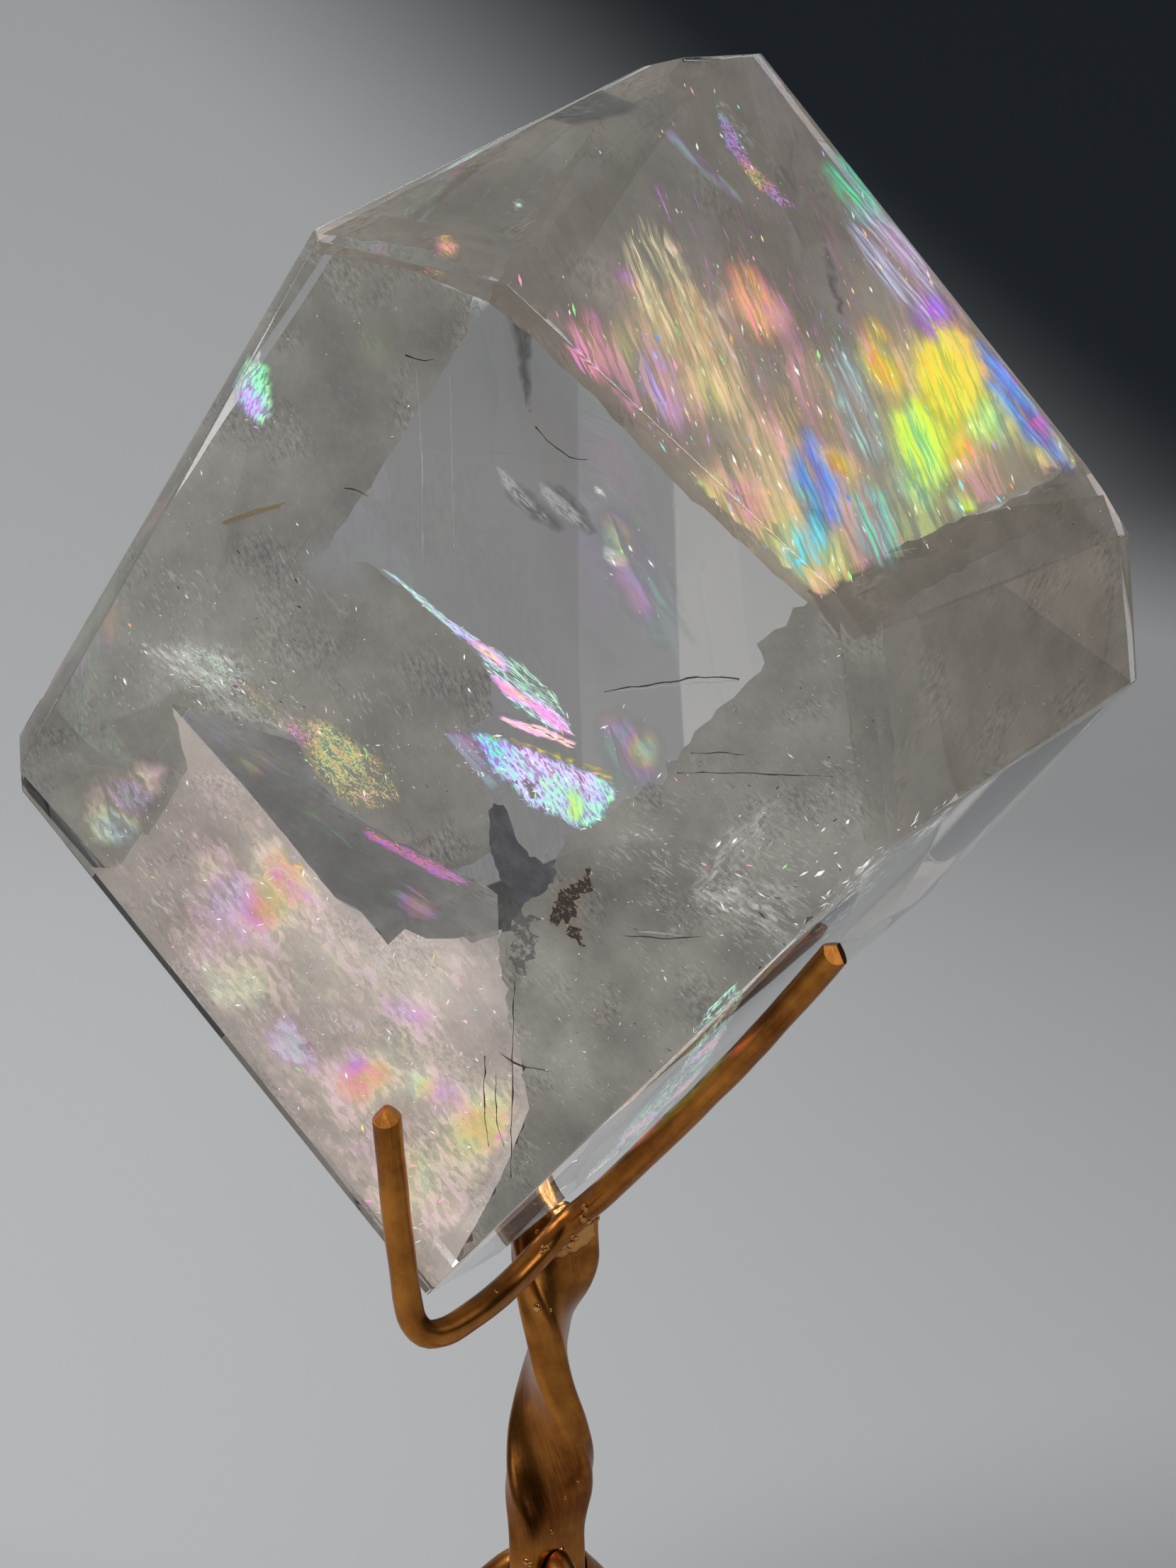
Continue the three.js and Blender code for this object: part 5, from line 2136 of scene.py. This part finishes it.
@dataclass
class Stand:
    """Prongs of bent rod, a flat bar twisted by hand, and three bent legs, all brazed together."""

    view: Viewpoint
    rod_sides: int = 28
    corner_steps: int = 6
    side_steps: tuple[int, int] = (5, 2)
    bar_step: float = 0.4
    bar_dent: float = 0.012
    prong_step: float = 0.6
    leg_step: float = 0.8
    prong_radius: float = 1.5
    leg_radius: float = 2.0
    bar_width: float = 9.2
    bar_thickness: float = 4.0
    bar_round: float = 1.1
    bar_bottom: float = 18.0
    bar_top: float = 62.6
    seat_gap: float = 0.3
    leg_span: float = 200.0
    foot_play: float = 0.05
    braze_grain: float = 0.22
    braze_softness: int = 8
    bubble_size: float = 0.8
    claw_path: tuple[Row, ...] = (
        (-15.85, -24.65, 78.2), (-15.4, -23.3, 71.9), (-14.9, -22, 65.4), (-14.4, -21.2, 61.1),
        (-14, -20.6, 57.8), (-13.5, -20.5, 55.8), (-12.4, -20.1, 54.5), (-10.7, -18.7, 54.2),
        (-7.3, -14.6, 55.2), (-3.3, -8.2, 57.2), (1.6, -3.8, 61.5), (6.2, -6.9, 66.3), (12.75, -12.6, 74),
        (19.35, -18.2, 82.05), (28.2, -26, 94), (28.75, -26.6, 94.9),
    )
    claw_nips: tuple[Nip, ...] = (
        Nip(True, (0, -1, 0), 34, 0.25), Nip(True, (-1, 0, 0), 35, -0.2), Nip(True, (1, 0, 0), 27, -0.1),
        Nip(False, (0, -1, 0), 28, 0.4), Nip(False, (1, 0, 0), 30, 0.4), Nip(False, (-1, 1, 0), 40, -0.1),
    )
    rear_path: tuple[Row, ...] = (
        (-0.4, 3.85, 57.2), (-0.5, 3.85, 60), (-1.4, 4.6, 63), (-4.4, 7.4, 67), (-10.5, 10.2, 73.5),
        (-17, 10.7, 80.8), (-22.5, 9.2, 87.4), (-24.6, 8.6, 89.7),
    )
    rear_nips: tuple[Nip, ...] = (Nip(False, (0, 1, 0), 42, 0.7),)
    twist: tuple[Twist, ...] = (
        Twist(18, 229, -0.3), Twist(24, 229, -0.3), Twist(27.6, 228, -0.3), Twist(29.5, 219, -0.2),
        Twist(31.5, 203, -0.1), Twist(34, 180, 0), Twist(37, 154, 0), Twist(40, 132, -0.1),
        Twist(44.4, 104, -0.2), Twist(47.8, 89, -0.1), Twist(50.4, 79, -0.1), Twist(53.4, 54, 0.4),
        Twist(56.4, 28, 0.6), Twist(58.5, 9, 0.6), Twist(60, 1, 0.6), Twist(62.6, 0, 0.6),
    )
    leg_profile: tuple[Pixel, ...] = (
        (-1, 24.5), (3, 23.5), (6, 21.2), (10, 17.7), (16, 12.7), (25, 7.15), (34, 3.25), (41, 1.8),
        (45, 1.6), (50, 1.6),
    )
    legs: tuple[Leg, ...] = (
        Leg("left_leg", 172, 139, 2.0), Leg("right_leg", 55, 49, 4.6), Leg("front_leg", -66, -41, 2.0),
    )

    def build(self) -> None:
        """Makes and dresses every piece of the stand."""
        brass = MetalFinish("brass_rod").material()
        warm = {"light": (0.78, 0.42, 0.14), "dark": (0.4, 0.16, 0.045)}
        braze = MetalFinish("braze", smooth=0.12, dull=0.28, **warm).material()
        claw = self.prong("claw", self.claw_path, self.claw_nips)
        claw_rod = finished(new_object("claw_rod", claw, brass), "stand_metal", "front_claw_rod")
        rear = self.prong("rear", self.rear_path, self.rear_nips)
        finished(new_object("rear_rod", rear, brass), "stand_metal", "rear_prong")
        bar = finished(new_object("twisted_bar", self.bar(), brass), "stand_metal", "twisted_stem")
        for leg in self.legs:
            finished(new_object(f"{leg.name}_rod", self.leg(leg), brass), "stand_metal", leg.name)
        fillets = self.brazing(braze)
        self.bubbles([claw_rod, bar, *fillets], braze)

    def prong(self, name: str, path: tuple[Row, ...], nips: tuple[Nip, ...]) -> Mesh:
        """One bent rod with its nipped ends.

        Args:
            name: the mesh's name.
            path: its centre line.
            nips: the cutters' marks on its ends.

        Returns:
            The rod's mesh.
        """
        points = [Vector(p) + STAND_FOOT for p in path]
        mesh = swept_rod(name, points, self.prong_radius, self.rod_sides, self.prong_step)
        for mark in nips:
            tip, inner = (points[0], points[1]) if mark.at_start else (points[-1], points[-2])
            along = (tip - inner).normalized()
            side = Vector(mark.side)
            side = (side - along * side.dot(along)).normalized()
            slope = math.radians(mark.lean)
            normal = along * math.cos(slope) + side * math.sin(slope)
            cut_mesh(mesh, tip - along * mark.back, normal)
        return mesh

    def section(self) -> np.ndarray:
        """The bar's section with its rounded corners, anticlockwise.

        Returns:
            Points about its middle, one to a row, in millimetres.
        """
        points = []
        flat_x = self.bar_width / 2 - self.bar_round
        flat_y = self.bar_thickness / 2 - self.bar_round
        for quarter, (x, y) in enumerate(((1, 1), (-1, 1), (-1, -1), (1, -1))):
            for step in range(self.corner_steps + 1):
                turn = math.pi / 2 * (quarter + step / self.corner_steps)
                round_x, round_y = math.cos(turn) * self.bar_round, math.sin(turn) * self.bar_round
                points.append((x * flat_x + round_x, y * flat_y + round_y))
            run = self.side_steps[quarter % 2]
            start = np.array(points[-1])
            nxt = ((-1, 1), (-1, -1), (1, -1), (1, 1))[quarter]
            turn = math.pi / 2 * (quarter + 1)
            ahead = np.array((math.cos(turn), math.sin(turn)))
            stop = np.array((nxt[0] * flat_x, nxt[1] * flat_y)) + self.bar_round * ahead
            points.extend((start + (stop - start) * k / (run + 1)).tolist() for k in range(1, run + 1))
        return np.array(points)

    def bar(self) -> Mesh:
        """The twisted bar.

        Returns:
            Its closed mesh.
        """
        section = self.section()
        heights = np.arange(self.bar_bottom, self.bar_top + 0.01, self.bar_step)
        heights[-1] = self.bar_top
        table = [t.height for t in self.twist]
        turns = smooth_table(heights, table, [t.turn for t in self.twist])
        leans = smooth_table(heights, table, [t.lean for t in self.twist])
        rings = []
        for height, turn, lean in zip(heights, turns, leans):
            c, s = math.cos(math.radians(turn)), math.sin(math.radians(turn))
            end = min(height - self.bar_bottom, self.bar_top - height)
            shrink = 1 - 0.5 * max(0, 0.4 - end)
            ring = []
            for x, y in section * shrink:
                dent = 1 + self.bar_dent * noise.noise(Vector((x * 0.5, y * 0.5, height * 0.35)))
                px, py = x * dent, y * dent
                ring.append((px * c - py * s + lean + STAND_FOOT.x, px * s + py * c + STAND_FOOT.y, height))
            rings.append(ring)
        return lofted("bar", np.array(rings))

    def leg(self, leg: Leg) -> Mesh:
        """One bent leg, cut to the bar's face and flat on the ground.

        Args:
            leg: its bearing and cut.

        Returns:
            The leg's closed mesh.
        """
        axis = STAND_FOOT + Vector((self.twist[0].lean, 0, 0))
        outward = heading(leg.bearing)
        points = [axis + outward * out + Vector((0, 0, height)) for out, height in self.leg_profile]
        points[-1] -= outward * self.foot_play
        mesh = swept_rod(leg.name, points, self.leg_radius, self.rod_sides, self.leg_step)
        face = heading(leg.face)
        top = Vector((0, 0, self.leg_profile[0][1]))
        cut_mesh(mesh, axis + face * (leg.reach + self.seat_gap) + top, -face)
        cut_mesh(mesh, Vector((0, 0, 0)), Vector((0, 0, -1)), near=self.leg_span)
        return mesh

    def bubbles(self, metal: list[Object], material: Material) -> None:
        """Low domes left by the torch.

        Args:
            metal: the pieces that the domes sit on.
            material: the braze.
        """
        skins = [BVHTree.FromObject(thing, bpy.context.evaluated_depsgraph_get()) for thing in metal]
        shell = bmesh.new()
        for pixel, radius in BUBBLES:
            hits = [skin.ray_cast(self.view.eye * MM, self.view.sight(pixel)) for skin in skins]
            seen = [hit for hit in hits if hit[0] is not None]
            if not seen:
                LOG.info("no metal under the bubble at %s", pixel)
                continue
            point, normal, _, _ = min(seen, key=lambda hit: hit[3])
            turn = normal.to_track_quat("Z", "Y").to_matrix().to_4x4()
            place = Matrix.Translation(point) @ turn @ Matrix.Diagonal((1, 1.25, 0.6, 1))
            size = radius * self.bubble_size * MM
            bmesh.ops.create_icosphere(shell, subdivisions=2, radius=size, matrix=place)
        mesh = mesh_from(shell, "bubbles", smooth=True)
        mesh.uv_layers.new(name="metal_mm")
        finished(new_object("torch_bubbles", mesh, material), "stand_metal")

    def brazing(self, material: Material) -> list[Object]:
        """Fillets of braze where the rods sit on the bar.

        Args:
            material: the braze.

        Returns:
            The fillets.
        """
        fillets = []
        for name, blobs in BRAZE_BLOBS.items():
            shell = bmesh.new()
            for x, y, z, radius in blobs:
                place = Matrix.Translation((Vector((x, y, z)) + STAND_FOOT) * MM)
                bmesh.ops.create_icosphere(shell, subdivisions=3, radius=radius * MM, matrix=place)
            thing = new_object(name, mesh_from(shell, name), material)
            skin = thing.modifiers.new("skin", "REMESH")
            skin.mode = "VOXEL"
            skin.voxel_size = self.braze_grain * MM
            soft = thing.modifiers.new("soft", "SMOOTH")
            soft.iterations = self.braze_softness
            applied(thing)
            shade_smooth(thing.data)
            thing.data.uv_layers.new(name="metal_mm")
            fillets.append(finished(thing, "stand_metal"))
        return fillets


# Balls that the fillets of braze are run together from: place from the bar's foot and radius, millimetres.
BRAZE_BLOBS = {
    "braze_claw": (
        (1.2, -1.9, 61.6, 1.3), (2.0, -1.8, 62.2, 1.1), (0.2, -2.2, 60.4, 1.2), (3.0, -2.4, 63.2, 0.9),
        (-0.9, -2.6, 59.6, 1.0), (1.6, -0.6, 62.6, 1.0), (0.4, -0.7, 62.4, 1.0), (-1.6, -3.6, 58.9, 0.7),
        (-1.5, -1.5, 57.9, 0.9), (-0.3, -1.5, 58.0, 1.0), (1.0, -1.5, 58.5, 1.1), (2.3, -1.5, 59.1, 1.1),
        (3.5, -1.4, 59.7, 1.0), (4.3, -1.2, 60.3, 0.8), (1.2, -2.0, 59.8, 1.3), (2.6, -1.9, 60.6, 1.3),
        (3.7, -1.7, 61.3, 1.1),
    ),
    "braze_rear": (
        (-0.4, 2.3, 58.6, 0.9), (-0.4, 2.3, 60.4, 1.0), (-0.8, 2.6, 61.8, 0.8), (-0.2, 2.2, 57.6, 0.7),
    ),
    "braze_legs": (
        (-2.4, 1.6, 23.5, 1.3), (-2.9, 0.8, 22.7, 1.0), (2.4, 4.2, 22.1, 1.2), (3.2, 3.6, 21.5, 1.0),
        (1.5, -2.0, 23.7, 1.3), (2.2, -2.4, 22.9, 1.1), (0.8, -1.9, 22.3, 0.9),
    ),
}


# ---------------------------------------------------------------- studio


@dataclass
class Studio:
    """Pale floor that curves up into a wall all round, with painted shade on parts of it, lit softly from
    above.
    """

    floor_radius: float = 0.9
    wall_radius: float = 1.45
    wall_height: float = 1.5
    sides: int = 96
    bend_steps: int = 12
    sunk: float = 0.0002
    pale: Colour = (0.6, 0.6, 0.605)
    # the colour of the backdrop's painted shade
    painted_shade: Colour = (0.02, 0.026, 0.032)

    def build(self) -> None:
        """Makes the backdrop and the lights."""
        profile = [(0.3, 0.0), (self.floor_radius, 0.0)]
        bend = self.wall_radius - self.floor_radius
        for step in range(1, self.bend_steps + 1):
            turn = math.pi / 2 * step / self.bend_steps
            profile.append((self.floor_radius + bend * math.sin(turn), bend * (1 - math.cos(turn))))
        profile.append((self.wall_radius, self.wall_height))
        shell = bmesh.new()
        rings = []
        for radius, height in profile:
            ring = []
            for k in range(self.sides):
                turn = 2 * math.pi * k / self.sides
                place = (radius * math.cos(turn), radius * math.sin(turn), height - self.sunk)
                ring.append(shell.verts.new(place))
            rings.append(ring)
        shell.faces.new(rings[0])
        for inner, outer in zip(rings, rings[1:]):
            for k in range(self.sides):
                after = (k + 1) % self.sides
                shell.faces.new((inner[k], outer[k], outer[after], inner[after]))
        bmesh.ops.recalc_face_normals(shell, faces=shell.faces)
        new_object("backdrop", mesh_from(shell, "backdrop", smooth=True), self.wall())
        self.lights()

    def wall(self) -> Material:
        """The backdrop's paint: pale, with painted shade towards the upper right, behind the camera, on the
        left towards the front, and low on the right.

        Returns:
            The material.
        """
        material, w, shader = new_material("backdrop")
        place = w.object_place()
        axes = w.node("ShaderNodeSeparateXYZ", Vector=place)
        # Painted shade: darker towards the upper right, behind the camera, on the left towards the front and
        # low on the right, which also gives the metal dark reflections.
        slope = w.plus(w.times(axes.outputs["X"], 0.9), axes.outputs["Z"])
        shade = w.times(w.band(slope, 0.12, 0.42), w.band(axes.outputs["Z"], 0.0, 0.12))
        behind = w.band(w.times(axes.outputs["Y"], -1.0), 0.45, 0.9)
        aside = w.band(w.times(axes.outputs["X"], -1.0), 0.4, 0.75)
        aside = w.times(aside, w.band(w.times(axes.outputs["Y"], -1.0), -0.75, -0.3))
        low = w.minus(0.25, w.times(w.band(axes.outputs["Z"], 0.0, 0.4), 0.25))
        low = w.times(low, w.band(axes.outputs["X"], -0.12, 0.2))
        shade = w.math("MAXIMUM", shade, w.times(w.math("MAXIMUM", behind, aside), 0.85))
        shade = w.math("MAXIMUM", shade, low)
        w.give(shader, Base_Color=w.mix(shade, self.pale, self.painted_shade), Roughness=0.9, Specular_IOR_Level=0.1)
        return material

    def lights(self) -> None:
        """Large soft lamps and an even sky."""
        for name, place, size, power in (
            ("lamp_left", (-0.75, -0.55, 1.15), 0.7, 8.0),
            ("lamp_right", (0.85, -0.35, 0.9), 0.45, 3.4),
            ("lamp_back", (-0.5, 0.9, 1.1), 0.5, 5.0),
        ):
            lamp = bpy.data.lights.new(name, "AREA")
            lamp.shape = "DISK"
            lamp.size = size
            lamp.energy = power
            holder = bpy.data.objects.new(name, lamp)
            aim = Vector((0, 0, 0.1)) - Vector(place)
            turn = aim.to_track_quat("-Z", "Y").to_matrix().to_4x4()
            holder.matrix_world = Matrix.Translation(place) @ turn
            bpy.context.scene.collection.objects.link(holder)
        world = bpy.data.worlds.new("sky")
        world.use_nodes = True
        sky = world.node_tree.nodes["Background"]
        sky.inputs["Color"].default_value = (0.9, 0.95, 1.0, 1)
        sky.inputs["Strength"].default_value = 0.4
        bpy.context.scene.world = world


def render_settings() -> None:
    """Plain colours, enough bounces for clear stone, and a clean picture."""
    scene = bpy.context.scene
    scene.view_settings.view_transform = "Standard"
    cycles = scene.cycles
    cycles.use_denoising = True
    cycles.max_bounces = 5
    cycles.diffuse_bounces = 2
    cycles.transmission_bounces = 5
    cycles.glossy_bounces = 3
    cycles.transparent_max_bounces = 24
    cycles.sample_clamp_indirect = 6


def main() -> None:
    """Builds the object around the frame, and the studio round it."""
    logging.basicConfig(level=logging.INFO, format="%(message)s")
    render_settings()
    effects = Effects()
    finish = CalciteFinish()
    block = Block("calcite_crystal", finish.ior)
    view = Viewpoint(block.middle)
    view.place_camera()
    Crystal(block, finish).build()
    Inclusions(view, block, effects).build()
    Stand(view).build()
    Studio().build()


if __name__ == "__main__":
    main()
